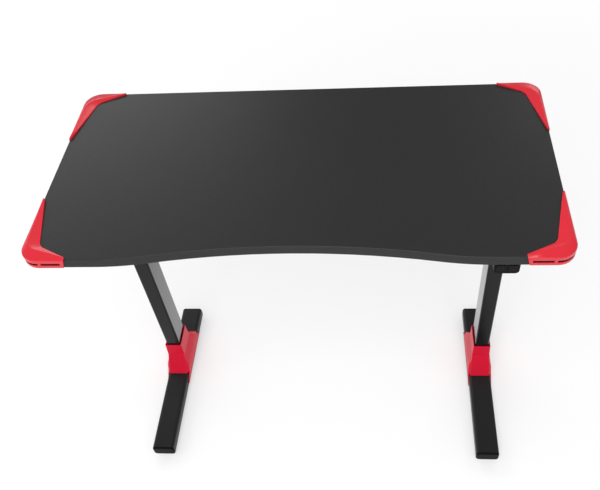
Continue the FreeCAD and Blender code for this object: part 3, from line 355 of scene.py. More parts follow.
class Bench:
    """Places and joins nodes in one tree."""

    def __init__(self, tree):
        self.nodes = tree.nodes
        self.links = tree.links

    def feed(self, socket, value):
        if isinstance(value, bpy.types.NodeSocket):
            self.links.new(value, socket)
        else:
            socket.default_value = value

    def add(self, kind, inputs=(), **settings):
        node = self.nodes.new(f"ShaderNode{kind}")
        for name, value in settings.items():
            setattr(node, name, value)
        for socket, value in dict(inputs).items():
            self.feed(node.inputs[socket], value)
        return node

    def math(self, operation, first, second=0.0):
        node = self.add("Math", {0: first, 1: second}, operation=operation)
        return node.outputs[0]

    def scaled(self, value, factor, start):
        """A value times a factor, added to a start."""
        return self.math("ADD", self.math("MULTIPLY", value, factor), start)

    def blend(self, share, first, second):
        """A value between two, or the second where the share is one."""
        node = self.add("Mix", {"Factor": share, "A": first, "B": second}, data_type="FLOAT")
        return node.outputs["Result"]

    def blend_colour(self, share, first, second):
        node = self.add("Mix", {"Factor": share}, data_type="RGBA")
        for socket, value in (("A", first), ("B", second)):
            target = [entry for entry in node.inputs if entry.name == socket and entry.type == "RGBA"][0]
            self.feed(target, value)
        return [result for result in node.outputs if result.type == "RGBA"][0]

    def noise(self, vector, scale, detail=2.0, roughness=0.5):
        inputs = {"Vector": vector, "Scale": scale, "Detail": detail, "Roughness": roughness}
        return self.add("TexNoise", inputs).outputs["Fac"]

    def group(self, tree, **inputs):
        node = self.add("Group", node_tree=tree)
        for name, value in inputs.items():
            self.feed(node.inputs[name.replace("_", " ").capitalize()], value)
        return node.outputs


def make_twill_group():
    """Two-by-two twill of flat tows: which tow lies on top, its rounded height and its fine filaments."""
    group, given, result = new_group(
        "twill_weave",
        (("Across", "Float"), ("Along", "Float"), ("Tow", "Float")),
        (("Warp", "Float"), ("Height", "Float"), ("Filament", "Float")))
    bench = Bench(group)
    across = bench.math("DIVIDE", given["Across"], given["Tow"])
    along = bench.math("DIVIDE", given["Along"], given["Tow"])
    step = bench.math("ADD", bench.math("FLOOR", across), bench.math("FLOOR", along))
    warp = bench.math("LESS_THAN", bench.math("FLOORED_MODULO", step, TWILL_REPEAT), TWILL_OVER - 0.5)
    place = bench.blend(warp, bench.math("FRACT", along), bench.math("FRACT", across))
    crown = bench.math("SINE", bench.math("MULTIPLY", place, math.pi))
    lines = bench.math("SINE", bench.math("MULTIPLY", place, FILAMENTS * math.pi))
    bench.links.new(warp, result["Warp"])
    bench.links.new(bench.math("POWER", crown, TOW_CROWN), result["Height"])
    bench.links.new(bench.scaled(lines, 0.5, 0.5), result["Filament"])
    return group


def make_grain_group():
    """Fine moulded or sprayed grain, with slow patches of polish from handling."""
    group, given, result = new_group(
        "surface_grain",
        (("Vector", "Vector"), ("Grain", "Float"), ("Patch", "Float")),
        (("Height", "Float"), ("Polish", "Float")))
    bench = Bench(group)
    fine = bench.noise(given["Vector"], bench.math("DIVIDE", 1.0, given["Grain"]), **GRAIN_NOISE)
    slow = bench.noise(given["Vector"], bench.math("DIVIDE", 1.0, given["Patch"]), **PATCH_NOISE)
    bench.links.new(fine, result["Height"])
    bench.links.new(slow, result["Polish"])
    return group


twill_group = make_twill_group()
grain_group = make_grain_group()


# Finishes

NOISE_MIDDLE = 0.5
PATCH_SIZE = 120 * MM
POLISH_SPREAD, FINE_SHARE = 0.12, 0.5
GLAZE_SLANTS, GLAZE_ROUGHNESS = (0.45, 0.72), 0.12

POWDER_GRAIN = {"grain": 0.9 * MM, "depth": 0.008 * MM}
MOULDED_GRAIN = {"grain": 0.5 * MM, "depth": 0.01 * MM}
POLISHED_GRAIN = {"grain": 0.45 * MM, "depth": 0.006 * MM}
RUBBER_GRAIN = {"grain": 0.8 * MM, "depth": 0.04 * MM}
CAST_GRAIN = {"grain": 0.7 * MM, "depth": 0.05 * MM}
RED_SHIFT = 0.04

TOW = 1.65 * MM
FLAT_FROM = 0.6
FILM_DARK, FILM_LIGHT = (0.0015, 0.0015, 0.0017, 1), (0.042, 0.0425, 0.043, 1)
# Painted sheen of the weft tows on the top, against the warp tows' full one, and the filaments' dip in tone
WEFT_SHEEN, FILAMENT_DIP = 0.2, 0.85
WEFT_ROUGHNESS, WARP_ROUGHNESS, FILM_EDGE_ROUGHER = 0.5, 0.32, 0.25
FILM_PATCHES, FILM_PATCH_SPREAD = {"scale": 6.0, "detail": 3.0}, 0.06
EMBOSS_DEPTH, EMBOSS_STRENGTH = 0.06 * MM, 0.6

DRAWN_STRETCH, DRAWN_SCALE = (1.0, 1.0, 0.04), 2500.0
DRAWN_SHADE, DRAWN_DEPTH = 0.8, 0.01 * MM
PLATING_CLOUDS, PLATING_SPREAD = {"scale": 40.0, "detail": 3.0}, 0.2

CARD_TRACKS = {"Scale": 400.0, "Color1": (0.01, 0.12, 0.04, 1), "Color2": (0.008, 0.1, 0.035, 1),
               "Mortar": (0.02, 0.2, 0.06, 1), "Mortar Size": 0.03}
CARD_ROUGHNESS, TRACK_ROUGHNESS = 0.3, 0.45


def new_finish(name, metallic=0.0, specular=0.5):
    """A material with its shader, and the bench to build on."""
    material = bpy.data.materials.new(name)
    material.use_nodes = True
    tree = material.node_tree
    tree.nodes.clear()
    bench = Bench(tree)
    shader = bench.add("BsdfPrincipled", {"Metallic": metallic, "Specular IOR Level": specular})
    bench.add("OutputMaterial", {"Surface": shader.outputs["BSDF"]})
    place = bench.add("TexCoord").outputs
    return material, bench, shader, place


def bump(bench, shader, height, depth, strength=1.0):
    relief = bench.add("Bump", {"Height": height, "Distance": depth, "Strength": strength})
    bench.links.new(relief.outputs["Normal"], shader.inputs["Normal"])


def grained_finish(name, colour, roughness, grain, depth, metallic=0.0, specular=0.5, shift=0.12, glaze=0.0):
    """A sprayed, moulded or cast surface: grain in the relief, slow changes in polish and tone. A glazed one
    shines only where it is seen along its surface."""
    material, bench, shader, place = new_finish(name, metallic, specular)
    effect = bench.group(grain_group, vector=place["Object"], grain=grain, patch=PATCH_SIZE)
    polish = bench.math("SUBTRACT", effect["Polish"], NOISE_MIDDLE)
    level = bench.scaled(polish, POLISH_SPREAD, roughness)
    fine = bench.math("SUBTRACT", effect["Height"], NOISE_MIDDLE)
    bench.links.new(bench.scaled(fine, POLISH_SPREAD * FINE_SHARE, level), shader.inputs["Roughness"])
    darker = [channel * (1 - shift) for channel in colour] + [1]
    lighter = [min(channel * (1 + shift), 1) for channel in colour] + [1]
    tone = bench.blend_colour(effect["Polish"], darker, lighter)
    bench.links.new(tone, shader.inputs["Base Color"])
    bump(bench, shader, effect["Height"], depth)
    if glaze:
        slant = bench.add("LayerWeight", {"Blend": 0.5}).outputs["Facing"]
        rise = bench.add("MapRange", {"Value": slant, "From Min": GLAZE_SLANTS[0],
                                      "From Max": GLAZE_SLANTS[1], "To Max": glaze})
        bench.links.new(rise.outputs["Result"], shader.inputs["Coat Weight"])
        shader.inputs["Coat Roughness"].default_value = GLAZE_ROUGHNESS
    return material


def make_board_film():
    """The desktop's film: printed, embossed twill with painted sheen, on the top, the edges and the
    underside.
    """
    material, bench, shader, place = new_finish("carbon_look_film")
    spot = bench.add("SeparateXYZ", {"Vector": place["Object"]}).outputs
    facing = bench.add("SeparateXYZ", {"Vector": place["Normal"]}).outputs
    upright = [bench.math("ABSOLUTE", facing[axis]) for axis in "XYZ"]
    flat = bench.math("GREATER_THAN", upright[Z], FLAT_FROM)
    lengthways = bench.math("MAXIMUM", flat, bench.math("GREATER_THAN", upright[Y], upright[X]))
    weave = bench.group(
        twill_group,
        across=bench.blend(lengthways, spot["Y"], spot["X"]),
        along=bench.blend(flat, spot["Z"], spot["Y"]),
        tow=TOW)
    patches = bench.noise(place["Object"], **FILM_PATCHES)
    # Painted sheen in the colour: each tow lighter at its crown, warp tows lighter than weft, weft sheen
    # weaker on top and gone on edges
    weft = bench.blend(flat, 0.0, WEFT_SHEEN)
    sheen = bench.math("MULTIPLY", weave["Height"], bench.blend(weave["Warp"], weft, 1.0))
    light = bench.math("MULTIPLY", sheen, bench.blend(weave["Filament"], FILAMENT_DIP, 1.0))
    bench.links.new(bench.blend_colour(light, FILM_DARK, FILM_LIGHT), shader.inputs["Base Color"])
    gloss = bench.math("ADD", bench.blend(weave["Warp"], WEFT_ROUGHNESS, WARP_ROUGHNESS),
                       bench.blend(flat, FILM_EDGE_ROUGHER, 0.0))
    bench.links.new(bench.scaled(patches, FILM_PATCH_SPREAD, gloss), shader.inputs["Roughness"])
    bump(bench, shader, weave["Height"], EMBOSS_DEPTH, EMBOSS_STRENGTH)
    return material


def make_drawn_metal(name, colour, roughness):
    """Drawn and plated metal: fine lines along Z in the tone and the relief, clouds in the polish."""
    material, bench, shader, place = new_finish(name, metallic=1.0)
    stretch = bench.add("Mapping", {"Vector": place["Object"], "Scale": DRAWN_STRETCH}).outputs[0]
    lines = bench.noise(stretch, DRAWN_SCALE)
    clouds = bench.noise(place["Object"], **PLATING_CLOUDS)
    bench.links.new(bench.scaled(clouds, PLATING_SPREAD, roughness - PLATING_SPREAD / 2),
                    shader.inputs["Roughness"])
    darker = [channel * DRAWN_SHADE for channel in colour] + [1]
    tone = bench.blend_colour(lines, darker, list(colour) + [1])
    bench.links.new(tone, shader.inputs["Base Color"])
    bump(bench, shader, lines, DRAWN_DEPTH)
    return material


def make_circuit_card():
    """Green solder mask in small fields, with lighter tracks between them."""
    material, bench, shader, place = new_finish("circuit_card")
    tracks = bench.add("TexBrick", {"Vector": place["Object"], **CARD_TRACKS}).outputs
    bench.links.new(tracks["Color"], shader.inputs["Base Color"])
    bench.links.new(bench.blend(tracks["Fac"], CARD_ROUGHNESS, TRACK_ROUGHNESS), shader.inputs["Roughness"])
    return material


foot_coat = grained_finish(
    "black_foot_coat", (0.016, 0.016, 0.0165), roughness=0.36, specular=0.25, **POWDER_GRAIN)
cover_red = grained_finish(
    "red_cover_plastic", (0.66, 0.008, 0.034), roughness=0.45, specular=0.1, shift=RED_SHIFT, glaze=0.35,
    **MOULDED_GRAIN)
finishes = {
    "black_powder_coat": grained_finish(
        "black_powder_coat", (0.008, 0.008, 0.0084), roughness=0.24, specular=0.17, glaze=1.0,
        **POWDER_GRAIN),
    "black_plastic": grained_finish(
        "black_plastic", (0.004, 0.004, 0.0043), roughness=0.45, specular=0.08, **MOULDED_GRAIN),
    "black_rubber": grained_finish(
        "black_rubber", (0.016, 0.016, 0.016), roughness=0.78, **RUBBER_GRAIN),
    "zinc_steel": make_drawn_metal("zinc_steel", (0.62, 0.62, 0.6), roughness=0.36),
    "bronze": make_drawn_metal("bronze", (0.6, 0.4, 0.16), roughness=0.34),
    "cast_aluminium": grained_finish(
        "cast_aluminium", (0.55, 0.56, 0.57), roughness=0.48, metallic=1.0, **CAST_GRAIN),
    "red_plastic": grained_finish(
        "red_plastic", (0.665, 0.02, 0.035), roughness=0.25, shift=RED_SHIFT, **POLISHED_GRAIN),
    "carbon_look_board": make_board_film(),
    "circuit_board": make_circuit_card(),
    "grey_plastic": grained_finish(
        "grey_plastic", (0.006, 0.006, 0.0064), roughness=0.45, specular=0.1, **MOULDED_GRAIN),
}

for part in frame["record"]["subparts"]:
    node = frame["nodes"][part["node"]]
    node.data.materials.clear()
    node.data.materials.append(finishes[part["material_slot"]])
for side_name, _ in SIDES:
    frame["nodes"][f"{side_name}_foot"].data.materials[0] = foot_coat


# Corner guards

GUARD_WALL = 2.2 * MM
GUARD_CORNER_RADIUS = 42 * MM
GUARD_LOWER_LIP = 2.5 * MM
GUARD_SEAT = 0.5 * MM
GUARD_RISE = 5.5 * MM
GUARD_FACET_DROP = 5 * MM
GUARD_FRONT_TIP, GUARD_SIDE_TIP = 6.5 * MM, 6.5 * MM
GUARD_END_SLANT = 8.5 * MM
GUARD_EDGE = 0.5 * MM
ELBOW_FRONT = Vector((45.5 * MM, 39 * MM))
ELBOW_SIDE = Vector((38.5 * MM, 49 * MM))
ELBOW_EASE = 4 * MM
CREASE_FRONT_TIP, CREASE_SIDE_TIP = 5 * MM, 2.5 * MM
CREASE_FRONT = Vector((29 * MM, 31 * MM))
CREASE_SIDE = Vector((7.5 * MM, 60.5 * MM))
CREASE_RADIUS = 46 * MM
CREASE_EASE, CREASE_EASE_SHARE = 1.6 * MM, 0.35
WALL_FOOT_RADIUS = 2.2 * MM
WALL_TOP_RADIUS = 1.1 * MM
LIP_RADIUS, LIP_RADIUS_SHARE = 0.8 * MM, 0.3
LIP_SLOPE, LIP_FALL_MOST = 0.13, 3.4 * MM
ARC_MIDDLE_SHARE = 1 - DIAGONAL
EASE_MIDDLE_SHARE = 0.25
SLOT_TOP_DROP = 9.8 * MM
SLOT_HEIGHT = 6.5 * MM
SLOT_START, SLOT_BRIDGE_START, SLOT_BRIDGE_END = 93.5 * MM, 50.5 * MM, 43.5 * MM
SLOT_CORNER_TURN = 60
# Black sheets of painted shade behind the guards' slots: their margin, depths and last turn
SHADE_SHEET_MARGIN = 1 * MM
SHADE_SHEET_DEPTHS = (0.02 * MM, 0.24 * MM)
SHADE_SHEET_TURN = (90 + SLOT_CORNER_TURN) / 2
CORNER_TURNS = (0, 12, 24, 36, 48, SLOT_CORNER_TURN, 70, 80, 90)
SIDE_SHARES = (0.08, 0.2, 0.4, 0.6, 0.8, 1.0)


def above(plan, level):
    """The point at a level over a point of the plan."""
    return Vector((*plan, level))


def cubic(first, second, third, last, share):
    rest = 1 - share
    return (first * rest ** 3 + second * 3 * rest ** 2 * share + third * 3 * rest * share ** 2
            + last * share ** 3)


def arc_point(start, end, radius, share):
    """A point on the arc of a radius from start to end that bulges towards the plan's origin."""
    along = end - start
    across = Vector((-along.y, along.x)).normalized()
    if across.dot(start) < 0:
        across = -across
    centre = (start + end) / 2 + across * math.sqrt(radius ** 2 - along.length_squared / 4)
    first, last = start - centre, end - centre
    turn = first.angle_signed(last)
    return centre + Matrix.Rotation(-turn * share, 2) @ first


def slot_levels(guard_top):
    """The lower and the upper level of a guard's slots."""
    top = guard_top - GUARD_RISE - SLOT_TOP_DROP
    return top - SLOT_HEIGHT, top


def guard_stations(low, high):
    """Where the guard is cut along its length: outer wall, wall's inside, crease and lip in plan, each
    measured inwards from the desk's outer faces, with the wall's outward direction."""
    front_arm, side_arm = high.x - low.x, high.y - low.y
    front_tip = Vector((front_arm, GUARD_FRONT_TIP))
    side_tip = Vector((GUARD_SIDE_TIP, side_arm))
    lip_front = ELBOW_FRONT + (front_tip - ELBOW_FRONT).normalized() * ELBOW_EASE
    lip_side = ELBOW_SIDE + (side_tip - ELBOW_SIDE).normalized() * ELBOW_EASE
    crease_front_tip = Vector((front_arm, CREASE_FRONT_TIP))
    crease_side_tip = Vector((CREASE_SIDE_TIP, side_arm))
    radius = GUARD_CORNER_RADIUS
    slot_middle = (SLOT_START + SLOT_BRIDGE_START) / 2
    stations = []
    for across in (front_arm, SLOT_START, slot_middle, SLOT_BRIDGE_START, SLOT_BRIDGE_END):
        share = (front_arm - across) / (front_arm - radius)
        stations.append((Vector((across, 0)), Vector((across, GUARD_WALL)),
                         crease_front_tip.lerp(CREASE_FRONT, share), front_tip.lerp(lip_front, share),
                         Vector((0, -1))))
    for degrees in CORNER_TURNS:
        turn, share = math.radians(degrees), degrees / 90
        outward = Vector((-math.sin(turn), -math.cos(turn)))
        centre = Vector((radius, radius))
        stations.append((centre + outward * radius, centre + outward * (radius - GUARD_WALL),
                         arc_point(CREASE_FRONT, CREASE_SIDE, CREASE_RADIUS, share),
                         cubic(lip_front, ELBOW_FRONT, ELBOW_SIDE, lip_side, share), outward))
    for share in SIDE_SHARES:
        deep = radius + (side_arm - radius) * share
        stations.append((Vector((0, deep)), Vector((GUARD_WALL, deep)),
                         CREASE_SIDE.lerp(crease_side_tip, share), lip_side.lerp(side_tip, share),
                         Vector((-1, 0))))
    return stations


def guard_profile(station, low, high):
    """The guard's closed section at one station, from the lower lip round the outside to the inside."""
    outer, inside, crease, lip, outward = station
    bottom, crease_top = low.z, high.z
    seat = crease_top - GUARD_RISE - GUARD_SEAT
    slot_bottom, slot_top = slot_levels(high.z)
    to_lip = lip - crease
    ease = min(CREASE_EASE, to_lip.length * CREASE_EASE_SHARE)
    lip_radius = min(LIP_RADIUS, to_lip.length * LIP_RADIUS_SHARE)
    foot = above(outer, bottom)
    shoulder = above(outer, crease_top - GUARD_FACET_DROP)
    crest = above(crease, crease_top)
    lip_top = above(lip, crease_top - min(to_lip.length * LIP_SLOPE, LIP_FALL_MOST))
    out = above(outward, 0)
    slope = (crest - shoulder).normalized()
    down_in = (lip_top - crest).normalized()
    level_in = above(to_lip.normalized(), 0)
    points = [
        above(lip, bottom),
        foot - out * WALL_FOOT_RADIUS,
        foot + (UP - out) * WALL_FOOT_RADIUS * ARC_MIDDLE_SHARE,
        foot + UP * WALL_FOOT_RADIUS,
        above(outer, slot_bottom),
        above(outer, slot_top),
        shoulder - UP * WALL_TOP_RADIUS,
        shoulder + (slope - UP) * WALL_TOP_RADIUS * EASE_MIDDLE_SHARE,
        shoulder + slope * WALL_TOP_RADIUS,
        crest - slope * ease,
        crest + (down_in - slope) * ease * EASE_MIDDLE_SHARE,
        crest + down_in * ease,
        lip_top - down_in * lip_radius,
        lip_top - (level_in + UP) * lip_radius * ARC_MIDDLE_SHARE,
        lip_top - UP * lip_radius,
        above(lip, seat),
        above(inside, seat),
        above(inside, slot_top),
        above(inside, slot_bottom),
        above(inside, bottom + GUARD_LOWER_LIP),
        above(lip, bottom + GUARD_LOWER_LIP),
    ]
    return [above(low.xy, 0) + point for point in points]


def cut_guard_slot(piece, first, last, low, high):
    """Open one slot through the wall, between two distances along the front, and close its sides."""
    slot_bottom, slot_top = slot_levels(high.z)

    def in_slot(face):
        if abs(face.normal.z) > DIAGONAL or not slot_bottom < middle(face).z < slot_top:
            return False
        return first < middle(face).x - low.x < last and middle(face).y - low.y < GUARD_CORNER_RADIUS

    take_away(piece, in_slot)
    edit(piece, "EDGE", lambda edge: edge.is_boundary)
    bpy.ops.mesh.bridge_edge_loops()
    put_down()


def make_guards():
    """A corner clip, drawn as one skin round its sections, its front end slanted, with two slots in front."""
    low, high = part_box("front_left_guard")
    rows = []
    for station in guard_stations(low, high):
        ring = guard_profile(station, low, high)
        rows.append(ring + ring[:1])
    slant_run = high.x - low.x - SLOT_START
    for number, point in enumerate(rows[0]):
        shift = GUARD_END_SLANT * (high.z - point.z) / (high.z - low.z)
        rows[0][number] = point.lerp(rows[1][number], shift / slant_run)
    guard = add_skin("front_left_corner_guard", rows)
    face_outwards(guard)
    close_end(guard, lambda edge: middle(edge).x > low.x + SLOT_START)
    close_end(guard, lambda edge: lies_in(edge, Y, high.y))
    face_outwards(guard)
    corner_end = GUARD_CORNER_RADIUS * (1 - math.sin(math.radians(SLOT_CORNER_TURN)))
    for first, last in ((SLOT_BRIDGE_START, SLOT_START), (corner_end, SLOT_BRIDGE_END)):
        cut_guard_slot(guard, first, last, low, high)
    face_outwards(guard)
    soften(guard, GUARD_EDGE)
    shade(guard, angle=30)
    for corner, piece in mirrored_to_corners(guard, "corner_guard"):
        dress(piece, "top", "red_plastic", f"{corner}_guard")


def make_slot_shade_sheets():
    """Painted shade: a thin black sheet behind each guard's slots, between its wall and the board's edge."""
    low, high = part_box("front_left_guard")
    slot_bottom, slot_top = slot_levels(high.z)
    bottom, top = slot_bottom - SHADE_SHEET_MARGIN, slot_top + SHADE_SHEET_MARGIN
    path = [(Vector((SLOT_START + SHADE_SHEET_MARGIN, GUARD_WALL)), Vector((0, -1)))]
    for _, inside, _, _, outward in guard_stations(low, high):
        if inside.x < SLOT_START and outward.y < -math.cos(math.radians(SHADE_SHEET_TURN)):
            path.append((inside, outward))
    rows = []
    for inside, outward in path:
        near, far = (low.xy + inside - outward * depth for depth in SHADE_SHEET_DEPTHS)
        ring = [above(near, bottom), above(near, top), above(far, top), above(far, bottom)]
        rows.append(ring + ring[:1])
    shade_sheet = add_skin("front_left_slot_shade_sheet", rows)
    face_outwards(shade_sheet)
    for first in (True, False):
        close_end(shade_sheet, lambda edge: (middle(edge).x > low.x + SLOT_START) == first)
    face_outwards(shade_sheet)
    shade(shade_sheet)
    for _, piece in mirrored_to_corners(shade_sheet, "slot_shade_sheet"):
        dress(piece, "top", "black_plastic")


make_guards()
# Painted shade: black sheets behind the guards' slots, so that they read dark
make_slot_shade_sheets()


# Covers round the bottom of the columns

COVER_BASE_LEVEL = 48 * MM
# Level and half width of each section above the base
COVER_SECTIONS = ((70 * MM, 37 * MM), (97 * MM, 28.8 * MM), (112 * MM, 28.2 * MM), (162 * MM, 27 * MM))
COVER_FOLD_LEVEL = COVER_SECTIONS[2][0]
COVER_REACHES = {"front": 82 * MM, "rear": 96 * MM}
COVER_FOLD_REACH, COVER_NECK_REACH = 44.5 * MM, 42 * MM
COVER_CORNER, COVER_CORNER_SLACK = 1.5 * MM, 0.1 * MM
# How far the two lowest sections are cut off at their corners, across and along the foot
COVER_SHOULDERS = ((7.5 * MM, 12 * MM), (7 * MM, 10 * MM))
COVER_SHOULDER_SEARCH = (0.5 * MM, 4 * MM)
COVER_WALL, COVER_EDGE = 2.5 * MM, 0.4 * MM
RAMP_FORWARD_LEAST, RAMP_SIDEWAYS_MOST = 0.5, 0.1
RIB_PITCH, RIB_WIDTH, RIB_RISE = 6 * MM, 2.4 * MM, 1 * MM
RIB_TOP, RIB_BOTTOM = 106.9 * MM, 65.9 * MM
RIB_PLACES = range(-4, 5)
RIB_CATCH_SHARE = 0.4


def add_cover_ribs(cover, x):
    """Divide the front ramp into strips and raise every other one."""
    def on_ramp(face):
        in_front = face.normal.y < -RAMP_FORWARD_LEAST and abs(face.normal.x) < RAMP_SIDEWAYS_MOST
        return in_front and COVER_BASE_LEVEL < middle(face).z < COVER_FOLD_LEVEL

    for level in (RIB_TOP, RIB_BOTTOM):
        cut_across(cover, on_ramp, (0, 0, level), UP)
    for place in RIB_PLACES:
        for edge in (-0.5, 0.5):
            cut_across(cover, on_ramp, (x + RIB_PITCH * place + RIB_WIDTH * edge, 0, 0), (1, 0, 0))

    def on_rib(face):
        place = (middle(face).x - x) / RIB_PITCH
        in_row = abs(place) < RIB_PLACES[-1] + 0.5
        in_strip = abs(place - round(place)) * RIB_PITCH < RIB_WIDTH * RIB_CATCH_SHARE
        return on_ramp(face) and in_row and in_strip and RIB_BOTTOM < middle(face).z < RIB_TOP

    draw_out(cover, "FACE", on_rib, (0, -RIB_RISE, 0))


def make_cover(end_name, end):
    """Half of a cover: a block drawn in to its neck, opened below and behind, with skirts down the foot."""
    low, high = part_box(f"left_{end_name}_cover")
    x = (low.x + high.x) / 2
    half_base = (high.x - low.x) / 2
    seam, skirt_tip = (high.y, low.y) if end < 0 else (low.y, high.y)
    base_reach = COVER_REACHES[end_name]
    base = seam + end * base_reach
    fall = (base_reach - COVER_FOLD_REACH) / (COVER_FOLD_LEVEL - COVER_BASE_LEVEL)
    reaches = [max(base_reach - fall * (level - COVER_BASE_LEVEL), COVER_NECK_REACH)
               for level, _ in COVER_SECTIONS]

    def on_side(corner, level, side):
        return at(corner, Z, level) and (corner.co.x - x) * side > 0

    cover = add_block(f"left_{end_name}_leg_cover", (low.x, min(base, seam), COVER_BASE_LEVEL),
                      (high.x, max(base, seam), high.z))
    for level, _ in COVER_SECTIONS[:-1]:
        cut_across(cover, everything, (0, 0, level), UP)
    for (level, half_width), reach in zip(COVER_SECTIONS, reaches):
        for _, side in SIDES:
            move(cover, lambda corner: on_side(corner, level, side), (side * (half_width - half_base), 0, 0))
        move(cover, lambda corner: at(corner, Z, level) and at(corner, Y, base),
             (0, end * (reach - base_reach), 0))
    round_edges(cover, COVER_CORNER, lambda edge: runs_along(edge, Z)
                and not any(at(corner, Y, seam) for corner in edge.verts), segments=1)
    sections = ((COVER_BASE_LEVEL, half_base),) + COVER_SECTIONS
    nearest, farthest = COVER_SHOULDER_SEARCH
    for (level, half_width), reach, (across, along) in zip(sections, [base_reach] + reaches, COVER_SHOULDERS):
        tip = seam + end * reach
        for _, side in SIDES:
            move(cover, lambda corner: on_side(corner, level, side) and at(corner, Y, tip),
                 (side * (COVER_CORNER - across), 0, 0))
            move(cover, lambda corner: at(corner, X, x + side * half_width, COVER_CORNER_SLACK)
                 and at(corner, Z, level) and nearest < abs(corner.co.y - tip) < farthest,
                 (0, end * (COVER_CORNER - along), 0))
    take_away(cover, lambda face: lies_in(face, Z, high.z) or lies_in(face, Z, COVER_BASE_LEVEL)
              or lies_in(face, Y, seam))
    draw_out(cover, "EDGE", lambda edge: lies_in(edge, Z, COVER_BASE_LEVEL)
             and (lies_in(edge, X, low.x) or lies_in(edge, X, high.x)), (0, 0, low.z - COVER_BASE_LEVEL))
    skirt_start = base - end * COVER_SHOULDERS[0][1]
    move(cover, lambda corner: at(corner, Z, low.z) and not at(corner, Y, seam),
         (0, skirt_tip - skirt_start, 0))
    if end < 0:
        add_cover_ribs(cover, x)
    thicken(cover, COVER_WALL)
    face_outwards(cover)
    soften(cover, COVER_EDGE, angle=25)
    shade(cover, angle=30)
    twin = copy_of(cover, f"right_{end_name}_leg_cover", Matrix.Translation((-2 * x, 0, 0)))
    dress(cover, "base", "red_plastic", f"left_{end_name}_cover", finish=cover_red)
    dress(twin, "base", "red_plastic", f"right_{end_name}_cover", finish=cover_red)


for end_name, end in ENDS:
    make_cover(end_name, end)


# Feet: end caps and levelling feet

CAP_RIM, CAP_PLUG, CAP_PLUG_INSET, CAP_PLUG_WALL = 6 * MM, 15 * MM, 2.15 * MM, 3 * MM
FOOT_CORNER, CAP_ROUND, CAP_EDGE = 10 * MM, 5 * MM, 0.3 * MM
PAD_SIDES, NOTCH_EVERY = 48, 4
PAD_FOOT_INSET, PAD_FOOT_RISE = 1.2 * MM, 1 * MM
PAD_RIM_TOP, PAD_RIM_EASE = 4 * MM, 0.6 * MM
PAD_NECK, PAD_TOP = (12.6 * MM, 7.2 * MM), (11.8 * MM, 7.7 * MM)
PAD_EDGE = 0.25 * MM
NOTCH_MARGIN, NOTCH_DEPTH = 0.3 * MM, 0.7 * MM
STUD_RADIUS, STUD_TIP_RADIUS = 5 * MM, 4.2 * MM
STUD_THREAD_START, STUD_PLAIN_END = 8.4 * MM, 1.2 * MM
STUD_THREAD_DEPTH, STUD_PITCH = 0.45 * MM, 1.25 * MM


def make_foot_caps():
    """A rounded cap with a hollow plug that sits in the foot's tube."""
    low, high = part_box("left_foot_front_cap")
    rim = low.y + CAP_RIM
    cap = add_block("left_front_foot_cap", low, (high.x, rim, high.z))
    round_edges(cap, FOOT_CORNER, lambda edge: runs_along(edge, Y), segments=6)
    round_edges(cap, CAP_ROUND, lambda edge: lies_in(edge, Y, low.y), segments=6)
    step_face(cap, lambda face: lies_in(face, Y, rim), CAP_PLUG_INSET, (0, CAP_PLUG, 0))
    step_face(cap, lambda face: lies_in(face, Y, rim + CAP_PLUG), CAP_PLUG_WALL, (0, -CAP_PLUG, 0))
    face_outwards(cap)
    soften(cap, CAP_EDGE, angle=60)
    shade(cap)
    to_right = Matrix.Translation((-(low.x + high.x), 0, 0))
    rear_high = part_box("left_foot_rear_cap")[1]
    to_rear = Matrix.Translation((0, rear_high.y + low.y, 0)) @ Matrix.Diagonal((1, -1, 1, 1))
    for side_name, side in SIDES:
        for end_name, end in ENDS:
            name = f"{side_name}_{end_name}"
            place = (to_right if side > 0 else Matrix()) @ (to_rear if end > 0 else Matrix())
            piece = cap if name == "left_front" else copy_of(cap, f"{name}_foot_cap", place)
            dress(piece, "base", "black_plastic", f"{side_name}_foot_{end_name}_cap")


def make_levellers():
    """A pad with a ring of grip notches and a threaded stud."""
    low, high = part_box("left_front_leveller")
    radius = (high.x - low.x) / 2
    profile = [(radius - PAD_FOOT_INSET, 0), (radius, PAD_FOOT_RISE), (radius, PAD_RIM_TOP),
               (radius - PAD_RIM_EASE, PAD_RIM_TOP + PAD_RIM_EASE), PAD_NECK, PAD_TOP,
               (STUD_RADIUS, PAD_TOP[1])]
    profile += thread(STUD_RADIUS, STUD_THREAD_DEPTH, STUD_THREAD_START,
                      high.z - STUD_THREAD_START - STUD_PLAIN_END, STUD_PITCH)
    profile.append((STUD_TIP_RADIUS, high.z))
    foot = turn_up("left_front_levelling_foot", profile, PAD_SIDES)

    def on_notch(face):
        place = middle(face)
        number = int((math.atan2(place.y, place.x) + math.pi) / math.tau * PAD_SIDES)
        return PAD_FOOT_RISE < place.z < PAD_RIM_TOP and number % NOTCH_EVERY == 0

    edit(foot, "FACE", on_notch)
    bpy.ops.mesh.inset(thickness=NOTCH_MARGIN, use_individual=True)
    bpy.ops.mesh.extrude_faces_move(TRANSFORM_OT_shrink_fatten={"value": -NOTCH_DEPTH})
    put_down()
    face_outwards(foot)
    soften(foot, PAD_EDGE)
    shade(foot)
    pose_in_mesh(foot, Matrix.Translation(((low.x + high.x) / 2, (low.y + high.y) / 2, 0)))
    for side_name, _ in SIDES:
        for end_name, _ in ENDS:
            name = f"{side_name}_{end_name}"
            shift = Matrix.Translation(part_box(f"{name}_leveller")[0] - low)
            piece = foot if name == "left_front" else copy_of(foot, f"{name}_levelling_foot", shift)
            dress(piece, f"{name}_leveller", "black_rubber", f"{name}_leveller")


make_foot_caps()
make_levellers()


# Hand switch

